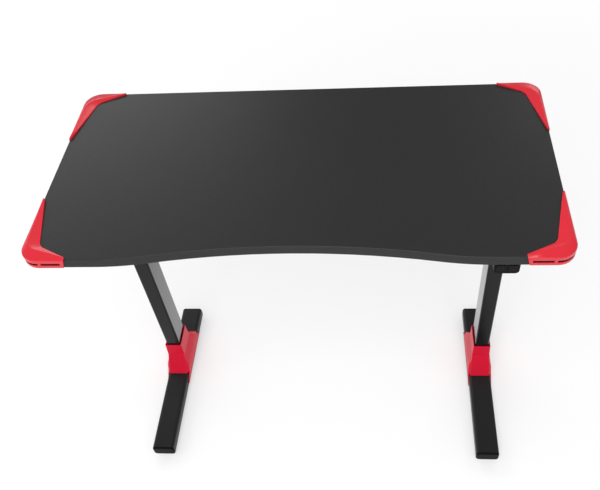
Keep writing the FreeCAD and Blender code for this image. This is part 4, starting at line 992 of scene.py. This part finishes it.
SWITCH_CORNER, SWITCH_WALL, SWITCH_BACK_ROUND = 9 * MM, 2 * MM, 2.5 * MM
BEZEL_EDGE, HOUSING_EDGE = 0.7 * MM, 0.4 * MM
EAR_THICKNESS, EAR_DEPTH, EAR_CORNER = 3 * MM, 20 * MM, 6 * MM
BUTTON_CORNER, BUTTON_GAP, BUTTON_FLANGE, BUTTON_OVERLAP = 3 * MM, 0.3 * MM, 1.4 * MM, 1.2 * MM
BUTTON_RIM, BUTTON_DISH, BUTTON_EDGE = 1.2 * MM, 0.35 * MM, 0.5 * MM
ARROW_RADIUS, ARROW_RISE, ARROW_TOP_SHARE = 4 * MM, 0.3 * MM, 0.9
ARROW_FOOT, ARROW_SEAT = 0.3 * MM, 0.5 * MM
BUTTONS = (("up", 1), ("down", -1))


def round_lower_corners(piece, level):
    round_edges(piece, SWITCH_CORNER, lambda edge: lies_in(edge, Z, level) and runs_along(edge, Y),
                segments=6)


def button_block(name, low, high, growth):
    """A block in the button's outline, with round corners."""
    wider = Vector((growth, 0, growth))
    block = add_block(name, low - wider, high + wider)
    round_edges(block, BUTTON_CORNER + growth, lambda edge: runs_along(edge, Y), segments=5)
    return block


def button_front(name):
    """The part of a button in front of its flange."""
    low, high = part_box(f"{name}_button")
    inset = Vector((BUTTON_OVERLAP, 0, BUTTON_OVERLAP))
    return low + inset, high - inset - Vector((0, BUTTON_FLANGE, 0))


def make_switch_bezel():
    """A front plate with a window for each button."""
    low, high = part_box("switch_bezel")
    bezel = add_block("switch_front_plate", low, high)
    round_lower_corners(bezel, low.z)
    through = Vector((0, OVERRUN, 0))
    for name, _ in BUTTONS:
        button_low, button_high = button_front(name)
        carve(bezel, button_block(f"{name}_window", button_low - through, button_high + through, BUTTON_GAP))
    face_outwards(bezel)
    soften(bezel, BEZEL_EDGE, segments=3)
    shade(bezel)
    dress(bezel, "top", "black_plastic", "switch_bezel")


def make_switch_housing():
    """A box open behind the front plate, with an ear on each side."""
    low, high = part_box("switch_housing")
    plate_low, plate_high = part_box("switch_bezel")
    shell = add_block("switch_box", (plate_low.x, plate_high.y, low.z), (plate_high.x, high.y, high.z))
    round_lower_corners(shell, low.z)
    round_edges(shell, SWITCH_BACK_ROUND, lambda edge: lies_in(edge, Y, high.y), segments=4)
    take_away(shell, lambda face: lies_in(face, Y, plate_high.y))
    thicken(shell, SWITCH_WALL)
    face_outwards(shell)
    ear_front = (plate_low.y + high.y - EAR_DEPTH) / 2
    pieces = [shell]
    for outer, inner in ((low.x, plate_low.x), (high.x, plate_high.x)):
        ear = add_block("ear", (min(outer, inner), ear_front, high.z - EAR_THICKNESS),
                        (max(outer, inner), ear_front + EAR_DEPTH, high.z))
        round_edges(ear, EAR_CORNER, lambda edge: lies_in(edge, X, outer) and runs_along(edge, Z), segments=5)
        pieces.append(ear)
    join(pieces)
    soften(shell, HOUSING_EDGE)
    shade(shell)
    dress(shell, "top", "black_plastic", "switch_housing")


def make_button(name, up):
    """A dished key with a raised arrow on its front and a flange behind the plate."""
    low, high = button_front(name)
    button = button_block(f"{name}_key_cap", low, high, 0)
    edit(button, "FACE", lambda face: lies_in(face, Y, low.y))
    bpy.ops.mesh.inset(thickness=BUTTON_RIM)
    bpy.ops.transform.translate(value=(0, BUTTON_DISH, 0))
    put_down()
    centre, size = (low + high) / 2, high - low
    wider, taller = (1 + 2 * BUTTON_OVERLAP / length for length in size.xz)
    edit(button, "FACE", lambda face: lies_in(face, Y, high.y))
    bpy.ops.mesh.extrude_region_move(TRANSFORM_OT_translate={"value": (0, 0, 0)})
    bpy.ops.transform.resize(value=(wider, 1, taller), center_override=(centre.x, high.y, centre.z))
    bpy.ops.mesh.extrude_region_move(TRANSFORM_OT_translate={"value": (0, BUTTON_FLANGE, 0)})
    put_down()
    face_outwards(button)
    soften(button, BUTTON_EDGE, angle=40, segments=3)
    arrow = turn_up("arrow", [(ARROW_RADIUS, 0), (ARROW_RADIUS, ARROW_FOOT),
                              (ARROW_RADIUS * ARROW_TOP_SHARE, ARROW_FOOT + ARROW_RISE)], sides=3)
    stand = Matrix.Rotation(math.pi / 2, 4, "X")
    turn = Matrix.Rotation(0 if up > 0 else math.pi, 4, "Y")
    pose_in_mesh(arrow, Matrix.Translation((centre.x, low.y + ARROW_SEAT, centre.z)) @ turn @ stand)
    join([button, arrow])
    shade(button)
    dress(button, f"{name}_key", "grey_plastic", f"{name}_button")


make_switch_bezel()
make_switch_housing()
for name, up in BUTTONS:
    make_button(name, up)


# Frame under the desktop

SHEET = 3 * MM
ARM_TAPER, ARM_TIP_RISE = 90 * MM, 26 * MM
ARM_FOLD, ARM_EDGE, ARM_OPEN_SLANT = 4 * MM, 0.5 * MM, 0.3
ARM_SHAFT_HOLE = 9 * MM
RAIL_CORNER = 2.5 * MM
CASE_LENGTH, CASE_CORNER, CASE_EDGE = 50 * MM, 12 * MM, 0.6 * MM
CASE_RIM, CASE_RECESS = 4 * MM, 1.2 * MM
CASE_PASSAGE, CASE_PASSAGE_CLEAR = 5.6 * MM, 7 * MM
CASE_GROOVE_SHARES = (0.3, 0.5, 0.7)
CASE_GROOVE_HALF, CASE_GROOVE_DEPTH, CASE_GROOVE_SLANT = 0.8 * MM, 0.8 * MM, 0.1
CAN_RADIUS, CAN_LENGTH, CAN_SIDES = 17.5 * MM, 100 * MM, 48
CAN_OFFSET, CAN_EDGE = 36 * MM, 0.2 * MM
CRIMP, CRIMP_PLACES = 0.45 * MM, (8 * MM, 90 * MM)
BELL_RADIUS, BELL_TOP_RADIUS, BELL_SIDE = 15 * MM, 13.5 * MM, 8 * MM
BELL_DISH_RADII, BELL_DISH = (6 * MM, 5.5 * MM), 1 * MM
BRACKET_CORNER, BRACKET_EDGE = 5 * MM, 0.4 * MM


def make_support_arms():
    """A folded sheet channel, tapered at both ends, with holes for the cross shaft."""
    low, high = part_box("left_support_arm")
    arm = add_block("left_folded_arm", low, high)
    for level in (low.y + ARM_TAPER, high.y - ARM_TAPER):
        cut_across(arm, everything, (0, level, 0), (0, 1, 0))
    for level in (low.y, high.y):
        move(arm, lambda corner: at(corner, Y, level) and at(corner, Z, low.z), (0, 0, ARM_TIP_RISE))
    take_away(arm, lambda face: face.normal.z < -ARM_OPEN_SLANT or lies_in(face, Y, low.y)
              or lies_in(face, Y, high.y))
    round_edges(arm, ARM_FOLD, lambda edge: lies_in(edge, Z, high.z) and runs_along(edge, Y)
                and not runs_along(edge, X) and not edge.is_boundary, segments=4)
    thicken(arm, SHEET)
    face_outwards(arm)
    axis = middle_of("drive_shaft")
    carve(arm, add_rod("hole", (low.x - OVERRUN, axis.y, axis.z), ARM_SHAFT_HOLE,
                       high.x - low.x + 2 * OVERRUN))
    soften(arm, ARM_EDGE)
    shade(arm)
    twin = copy_of(arm, "right_folded_arm", Matrix.Translation((-(low.x + high.x), 0, 0)))
    dress(arm, "top", "black_powder_coat", "left_support_arm")
    dress(twin, "top", "black_powder_coat", "right_support_arm")


def make_rails():
    """Square rails with round edges, their ends against the arms."""
    low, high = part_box("front_rail")
    rail = add_block("front_cross_rail", low, high)
    round_edges(rail, RAIL_CORNER, lambda edge: runs_along(edge, X), segments=4)
    shade(rail)
    twin = copy_of(rail, "rear_cross_rail", Matrix.Translation(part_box("rear_rail")[0] - low))
    dress(rail, "top", "black_powder_coat", "front_rail")
    dress(twin, "top", "black_powder_coat", "rear_rail")


def make_gear_case(low, high):
    """A cast case round the cross shaft, with sunk ends and three grooves round it."""
    axis = middle_of("drive_shaft")
    end = low.x + CASE_LENGTH
    case = add_block("motor_gear_case", low, (end, high.y, high.z))
    round_edges(case, CASE_CORNER, lambda edge: runs_along(edge, X), segments=6)
    for level, inwards in ((low.x, 1), (end, -1)):
        step_face(case, lambda face: lies_in(face, X, level), CASE_RIM, (inwards * CASE_RECESS, 0, 0))
    carve(case, add_rod("passage", (low.x - OVERRUN, axis.y, axis.z), CASE_PASSAGE,
                        CASE_LENGTH + 2 * OVERRUN))
    for share in CASE_GROOVE_SHARES:
        groove = low.x + CASE_LENGTH * share
        start, stop = groove - CASE_GROOVE_HALF, groove + CASE_GROOVE_HALF
        for level in (start, stop):
            cut_across(case, everything, (level, 0, 0), (1, 0, 0))
        edit(case, "FACE", lambda face: start < middle(face).x < stop
             and abs(face.normal.x) < CASE_GROOVE_SLANT
             and (middle(face).yz - axis.yz).length > CASE_PASSAGE_CLEAR)
        bpy.ops.transform.shrink_fatten(value=-CASE_GROOVE_DEPTH)
        put_down()
    face_outwards(case)
    soften(case, CASE_EDGE, angle=40)
    shade(case)
    return case


def make_motor_can(low, high):
    """The motor's can with its crimped ends and end bell, beside the cross shaft."""
    length = high.x - low.x - CASE_LENGTH
    inner = CAN_RADIUS - CRIMP
    profile = [(inner, 0), (CAN_RADIUS, CRIMP)]
    for level in CRIMP_PLACES:
        profile += [(CAN_RADIUS, level), (inner, level + CRIMP), (inner, level + 3 * CRIMP),
                    (CAN_RADIUS, level + 4 * CRIMP)]
    profile += [(CAN_RADIUS, CAN_LENGTH - 2 * CRIMP), (CAN_RADIUS - 2 * CRIMP, CAN_LENGTH),
                (BELL_RADIUS, CAN_LENGTH), (BELL_RADIUS, CAN_LENGTH + BELL_SIDE), (BELL_TOP_RADIUS, length),
                (BELL_DISH_RADII[0], length), (BELL_DISH_RADII[1], length - BELL_DISH)]
    can = turn_up("motor_can", profile, CAN_SIDES)
    lie = Matrix.Rotation(math.pi / 2, 4, "Y")
    place = (low.x + CASE_LENGTH, middle_of("drive_shaft").y + CAN_OFFSET, (low.z + high.z) / 2)
    pose_in_mesh(can, Matrix.Translation(place) @ lie)
    soften(can, CAN_EDGE)
    shade(can)
    return can


def make_motor():
    low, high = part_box("gear_motor")
    case, can = make_gear_case(low, high), make_motor_can(low, high)
    dress(case, "top", "black_powder_coat", "gear_motor")
    dress(can, "top", "black_powder_coat")


def make_motor_bracket():
    low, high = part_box("motor_bracket")
    plate = add_block("motor_plate", low, high)
    round_edges(plate, BRACKET_CORNER, lambda edge: runs_along(edge, Z), segments=5)
    soften(plate, BRACKET_EDGE)
    shade(plate)
    dress(plate, "top", "black_powder_coat", "motor_bracket")


make_support_arms()
make_rails()
make_motor()
make_motor_bracket()


# Control box

LID_WALL, LID_CORNER, LID_ROUND, LID_EDGE = 2.5 * MM, 6 * MM, 2 * MM, 0.35 * MM
VENT_COUNT, VENT_PITCH, VENT_WIDTH, VENT_LENGTH = 14, 7 * MM, 2 * MM, 44 * MM
SOCKET_WIDTH = 14 * MM
# Where each blade of the inlet stands, across and up from the middle
INLET_PLACES = ((-7 * MM, -1.5 * MM), (0, 2 * MM), (7 * MM, -1.5 * MM))
INLET_BLADE_HALF, INLET_BLADE_START, INLET_BLADE_END = Vector((0, 1 * MM, 2 * MM)), 2 * MM, 9.5 * MM
PIN_COLUMNS, PIN_ROWS = (-3 * MM, 0, 3 * MM), (-2 * MM, 2 * MM)
PIN_HALF, PIN_START, PIN_END = Vector((0, 0.4 * MM, 0.4 * MM)), 8.5 * MM, 2 * MM
BLADE_EDGE = 0.25 * MM


def make_control_lid():
    """A moulded lid, open above, with vent slots below and mouths for the inlet and the sockets."""
    low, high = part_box("control_box_lid")
    lid = add_block("control_lid", low, high)
    round_edges(lid, LID_CORNER, lambda edge: runs_along(edge, Z), segments=5)
    round_edges(lid, LID_ROUND, lambda edge: lies_in(edge, Z, low.z), segments=4)
    take_away(lid, lambda face: lies_in(face, Z, high.z))
    thicken(lid, LID_WALL)
    face_outwards(lid)
    centre = (low + high) / 2
    half_vent = Vector((VENT_WIDTH / 2, VENT_LENGTH / 2, LID_WALL / 2 + OVERRUN))
    vents = []
    for number in range(VENT_COUNT):
        x = centre.x + (number - (VENT_COUNT - 1) / 2) * VENT_PITCH
        place = Vector((x, centre.y, low.z + LID_WALL / 2))
        vents.append(add_block("vent", place - half_vent, place + half_vent))
    carve(lid, join(vents))
    inlet_low, inlet_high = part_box("mains_inlet")
    carve(lid, add_block("inlet", inlet_low - Vector((OVERRUN, 0, 0)), inlet_high))
    socket_low, socket_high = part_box("lead_sockets")
    for front in (socket_low.y, socket_high.y - SOCKET_WIDTH):
        carve(lid, add_block("socket", (socket_low.x, front, socket_low.z),
                             (high.x + OVERRUN, front + SOCKET_WIDTH, socket_high.z)))
    face_outwards(lid)
    soften(lid, LID_EDGE)
    shade(lid)
    dress(lid, "top", "black_plastic", "control_box_lid")


def make_blades(name, start, end, places, half):
    """Blades between two levels of X, each round a place across and up, as one piece."""
    blades = []
    for y, z in places:
        blade = add_block(name, Vector((start, y, z)) - half, Vector((end, y, z)) + half)
        soften(blade, BLADE_EDGE)
        blades.append(blade)
    blades = join(blades)
    shade(blades)
    dress(blades, "top", "zinc_steel")


def make_pins():
    """Three blades in the mains inlet, and two rows of three pins in each lead socket."""
    low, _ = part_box("mains_inlet")
    centre = middle_of("mains_inlet")
    make_blades("inlet_blades", low.x + INLET_BLADE_START, low.x + INLET_BLADE_END,
                [(centre.y + across, centre.z + rise) for across, rise in INLET_PLACES], INLET_BLADE_HALF)
    low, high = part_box("lead_sockets")
    level = middle_of("lead_sockets").z
    make_blades("socket_pins", high.x - PIN_START, high.x - PIN_END,
                [(y + across, level + rise) for y in (low.y + SOCKET_WIDTH / 2, high.y - SOCKET_WIDTH / 2)
                 for across in PIN_COLUMNS for rise in PIN_ROWS], PIN_HALF)


make_control_lid()
make_pins()


# Fasteners

FOOT_BOLT = {"radius": 4 * MM, "length": 45 * MM, "head_radius": 7 * MM, "head": 5 * MM}
FRAME_BOLT = {"radius": 3 * MM, "length": 12 * MM, "head_radius": 5.6 * MM, "head": 4 * MM}
BOLT_PITCH, BOLT_PLAIN, BOLT_SIDES = 1 * MM, 1 * MM, 16
BOLT_THREAD_SHARE, BOLT_TIP_SHARE = 0.1, 0.8
BOLT_HEAD_TOP_SHARE, BOLT_HEAD_SIDE_SHARE = 0.82, 0.8
BOLT_EDGE = 0.25 * MM
SCREW_RADIUS, SCREW_LENGTH, SCREW_TIP_RADIUS, SCREW_SIDES = 2 * MM, 15 * MM, 0.4 * MM, 20
SCREW_HEAD_RADIUS, SCREW_HEAD = 4 * MM, 2.5 * MM
# Radius and height of the pan head's outline, from its top down to its seat
SCREW_HEAD_SHARES = ((0.6, 1.0), (0.825, 0.84), (0.9625, 0.48), (1.0, 0.12), (1.0, 0.0))
SCREW_NECK = (1.4 * MM, 0.05 * MM)
SCREW_THREAD = {"depth": 0.55 * MM, "start": 0.8 * MM, "length": 12 * MM, "pitch": 1.5 * MM}
RECESS_HALF_WIDTH, RECESS_HALF_LENGTH, RECESS_FLOOR = 0.45 * MM, 2 * MM, 1.2 * MM
RECESS_OVERRUN = 0.5 * MM
FOOT_BOLT_X, FOOT_BOLT_Y = 20 * MM, 62 * MM
HOUSING_BOLT_Y, RAIL_BOLT_Z = 28 * MM, 9 * MM
BRACKET_BOLT_X, CASE_BOLT_X = 22 * MM, 12.5 * MM
ARM_SCREW_MARGIN, ARM_SCREW_SHARES = 20 * MM, (0.0, 0.33, 0.8, 1.0)
GUARD_SCREW_X, GUARD_SCREW_Y = 26.5 * MM, 38.5 * MM
TRAY_SCREW_INSET, EAR_SCREW_INSET = 8 * MM, 6.5 * MM


def make_bolt(name, radius, length, head_radius, head):
    """A hexagon bolt, its head seated at the origin and its thread upwards."""
    rings = thread(radius, radius * BOLT_THREAD_SHARE, BOLT_PLAIN, length - 2 * BOLT_PLAIN, BOLT_PITCH)
    shank = turn_up(name, [(radius, 0)] + rings + [(radius * BOLT_TIP_SHARE, length)], BOLT_SIDES)
    cap = turn_up("head", [(head_radius * BOLT_HEAD_TOP_SHARE, -head),
                           (head_radius, -head * BOLT_HEAD_SIDE_SHARE), (head_radius, 0)], sides=6)
    soften(cap, BOLT_EDGE, angle=40)
    return join([shank, cap])


def make_wood_screw():
    """A pan-head screw with a cross recess and a coarse thread, its head seated at the origin."""
    head = [(SCREW_HEAD_RADIUS * across, -SCREW_HEAD * rise) for across, rise in SCREW_HEAD_SHARES]
    rings = thread(SCREW_RADIUS, **SCREW_THREAD)
    profile = head + [SCREW_NECK] + rings + [(SCREW_TIP_RADIUS, SCREW_LENGTH)]
    screw = turn_up("wood_screw", profile, SCREW_SIDES)
    for turn in (0, math.pi / 2):
        blade = add_block("recess", (-RECESS_HALF_WIDTH, -RECESS_HALF_LENGTH, -SCREW_HEAD - RECESS_OVERRUN),
                          (RECESS_HALF_WIDTH, RECESS_HALF_LENGTH, -RECESS_FLOOR))
        carve(screw, pose_in_mesh(blade, Matrix.Rotation(turn, 4, "Z")))
    return screw


def set_fasteners(pattern, places, body, node):
    """Copies of a fastener at places with the directions of their shanks, as one piece."""
    shade(pattern)
    copies = []
    for place, direction in places:
        turn = UP.rotation_difference(Vector(direction)).to_matrix().to_4x4()
        copies.append(copy_of(pattern, f"{node}_set", Matrix.Translation(place) @ turn))
    bpy.data.objects.remove(pattern)
    dress(join(copies), body, "zinc_steel", node)


def foot_bolt_places():
    """From under each foot up into the column's base plate."""
    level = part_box("left_foot")[0].z
    column = middle_of("right_outer_column")
    return [((side * column.x + across * FOOT_BOLT_X, column.y + along * FOOT_BOLT_Y, level), UP)
            for _, side in SIDES for along in (-1, 1) for across in (-1, 1)]


def frame_bolt_places():
    """Through the arms into the gear housings and the rails, and up through the motor's bracket."""
    axis = middle_of("drive_shaft")
    arm_low, arm_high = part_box("right_support_arm")
    rails = [middle_of(f"{end_name}_rail") for end_name, _ in ENDS]
    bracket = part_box("motor_bracket")[0].z
    motor_x = middle_of("motor_bracket").x
    places = []
    for _, side in SIDES:
        for (_, end), rail in zip(ENDS, rails):
            y = axis.y + end * HOUSING_BOLT_Y
            places.append(((side * arm_high.x, y, axis.z), (-side, 0, 0)))
            places.append(((side * arm_low.x, y, axis.z), (side, 0, 0)))
            for rise in (-RAIL_BOLT_Z, RAIL_BOLT_Z):
                places.append(((side * (arm_low.x + SHEET), rail.y, rail.z + rise), (-side, 0, 0)))
    for across in (-1, 1):
        for rail in rails:
            places.append(((motor_x + across * BRACKET_BOLT_X, rail.y, bracket), UP))
        places.append(((motor_x + across * CASE_BOLT_X, axis.y + CAN_OFFSET, bracket), UP))
    return places


def wood_screw_places():
    """Up into the board through the arms, the guards' lower lips, and the ears of control box and switch."""
    column_x = middle_of("right_outer_column").x
    arm_low, arm_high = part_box("right_support_arm")
    guard_low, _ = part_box("front_left_guard")
    tray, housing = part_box("control_box_tray"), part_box("switch_housing")
    plate_low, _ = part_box("switch_bezel")
    first, last = arm_low.y + ARM_SCREW_MARGIN, arm_high.y - ARM_SCREW_MARGIN
    places = []
    for _, side in SIDES:
        for share in ARM_SCREW_SHARES:
            places.append((side * column_x, first + (last - first) * share, arm_high.z - SHEET))
        for _, end in ENDS:
            places.append((side * (-guard_low.x - GUARD_SCREW_X), end * (-guard_low.y - GUARD_SCREW_Y),
                           guard_low.z))
        places.append((tray[side > 0].x - side * TRAY_SCREW_INSET, (tray[0].y + tray[1].y) / 2, tray[0].z))
        places.append((housing[side > 0].x - side * EAR_SCREW_INSET, (plate_low.y + housing[1].y) / 2,
                       housing[1].z - EAR_THICKNESS))
    return [(place, UP) for place in places]


set_fasteners(make_bolt("foot_bolt", **FOOT_BOLT), foot_bolt_places(), "base", "foot_bolts")
set_fasteners(make_bolt("frame_bolt", **FRAME_BOLT), frame_bolt_places(), "top", "frame_bolts")
set_fasteners(make_wood_screw(), wood_screw_places(), "top", "wood_screws")


# Studio

CAMERA_PLACE = (0.1989, -1.2474, 2.1306)
CAMERA_YAW, CAMERA_PITCH, CAMERA_ROLL = math.radians(-7.70), math.radians(49.20), math.radians(-6.23)
PHOTO_WIDTH, PHOTO_HEIGHT = 600, 490
FOCAL_PIXELS = 705.4
AXIS_PIXEL = (322.0, 257.8)
SENSOR_WIDTH = 36.0
FLOOR_SIZE, FLOOR_TONE = 24, (0.95, 0.95, 0.955, 1)
FLOOR_GLOW, FLOOR_SEEN = 0.4, 1.07
FLOOR_FADE = (1.6, 4.5)
WHITE = (1, 1, 1, 1)
WORLD_LIGHT, WORLD_REFLECTED = 0.62, 0.18
# Name, place, aim, size and power of each lamp
SOFTBOXES = (
    ("key_softbox", (0.0, -2.3, 3.4), (0, 0, 0.7), (2.4, 2.4), 80),
    ("back_softbox", (-2.3, 3.2, 2.7), (0, 0, 1.0), (3.0, 1.7), 32),
    ("right_back_softbox", (1.9, 3.2, 2.4), (0, 0, 1.0), (1.2, 1.2), 10),
    ("left_softbox", (-3.0, 0.2, 1.6), (0, 0, 0.9), (3.0, 1.5), 10),
)


def make_camera():
    """The photograph's camera, from its place, its turns and the pixel on its axis."""
    level = Vector((math.cos(CAMERA_YAW), -math.sin(CAMERA_YAW), 0))
    ahead = Vector((math.sin(CAMERA_YAW), math.cos(CAMERA_YAW), 0))
    look = ahead * math.cos(CAMERA_PITCH) - UP * math.sin(CAMERA_PITCH)
    upright = level.cross(look)
    right = level * math.cos(CAMERA_ROLL) + upright * math.sin(CAMERA_ROLL)
    up = upright * math.cos(CAMERA_ROLL) - level * math.sin(CAMERA_ROLL)
    data = bpy.data.cameras.new("photo_camera")
    data.sensor_width = SENSOR_WIDTH
    data.lens = SENSOR_WIDTH * FOCAL_PIXELS / PHOTO_WIDTH
    data.shift_x = (PHOTO_WIDTH / 2 - AXIS_PIXEL[0]) / PHOTO_WIDTH
    data.shift_y = (AXIS_PIXEL[1] - PHOTO_HEIGHT / 2) / PHOTO_WIDTH
    camera = bpy.data.objects.new("photo_camera", data)
    bpy.context.scene.collection.objects.link(camera)
    turn = Matrix((right, up, -look)).transposed().to_4x4()
    camera.matrix_world = Matrix.Translation(CAMERA_PLACE) @ turn
    bpy.context.scene.camera = camera


def make_floor():
    """A pale floor that reads white in the picture and keeps soft shadows."""
    deselect_all()
    bpy.ops.mesh.primitive_plane_add(size=FLOOR_SIZE, location=(0, 0, 0))
    floor = bpy.context.object
    floor.name = "studio_floor"
    material = bpy.data.materials.new("pale_floor")
    material.use_nodes = True
    tree = material.node_tree
    tree.nodes.clear()
    bench = Bench(tree)
    matt = bench.add("BsdfDiffuse", {"Color": FLOOR_TONE})
    white = bench.add("Emission", {"Color": WHITE, "Strength": FLOOR_SEEN})
    place = bench.add("TexCoord").outputs["Object"]
    reach = bench.add("VectorMath", {0: place}, operation="LENGTH").outputs["Value"]
    far = bench.add("MapRange", {"Value": reach, "From Min": FLOOR_FADE[0], "From Max": FLOOR_FADE[1]},
                    interpolation_type="SMOOTHSTEP").outputs["Result"]
    seen = bench.add("LightPath").outputs["Is Camera Ray"]
    mix = bench.add("MixShader", {0: bench.math("MULTIPLY", seen, bench.blend(far, FLOOR_GLOW, 1.0)),
                                  1: matt.outputs[0], 2: white.outputs[0]})
    bench.add("OutputMaterial", {"Surface": mix.outputs[0]})
    floor.data.materials.append(material)


def make_world():
    """White behind the floor, softer as a light, and dim above in reflections."""
    world = bpy.data.worlds.new("studio")
    world.use_nodes = True
    tree = world.node_tree
    tree.nodes.clear()
    bench = Bench(tree)
    path = bench.add("LightPath").outputs
    level = bench.blend(path["Is Glossy Ray"], WORLD_LIGHT, WORLD_REFLECTED)
    strength = bench.blend(path["Is Camera Ray"], level, 1.0)
    light = bench.add("Background", {"Color": WHITE, "Strength": strength})
    bench.add("OutputWorld", {"Surface": light.outputs[0]})
    bpy.context.scene.world = world


def add_softbox(name, place, aim, size, power):
    data = bpy.data.lights.new(name, "AREA")
    data.shape = "RECTANGLE"
    data.size, data.size_y = size
    data.energy = power
    lamp = bpy.data.objects.new(name, data)
    lamp.location = place
    lamp.rotation_euler = (Vector(aim) - Vector(place)).to_track_quat("-Z", "Y").to_euler()
    bpy.context.scene.collection.objects.link(lamp)


make_camera()
make_floor()
make_world()
for softbox in SOFTBOXES:
    add_softbox(*softbox)
bpy.context.scene.view_settings.view_transform = "Standard"
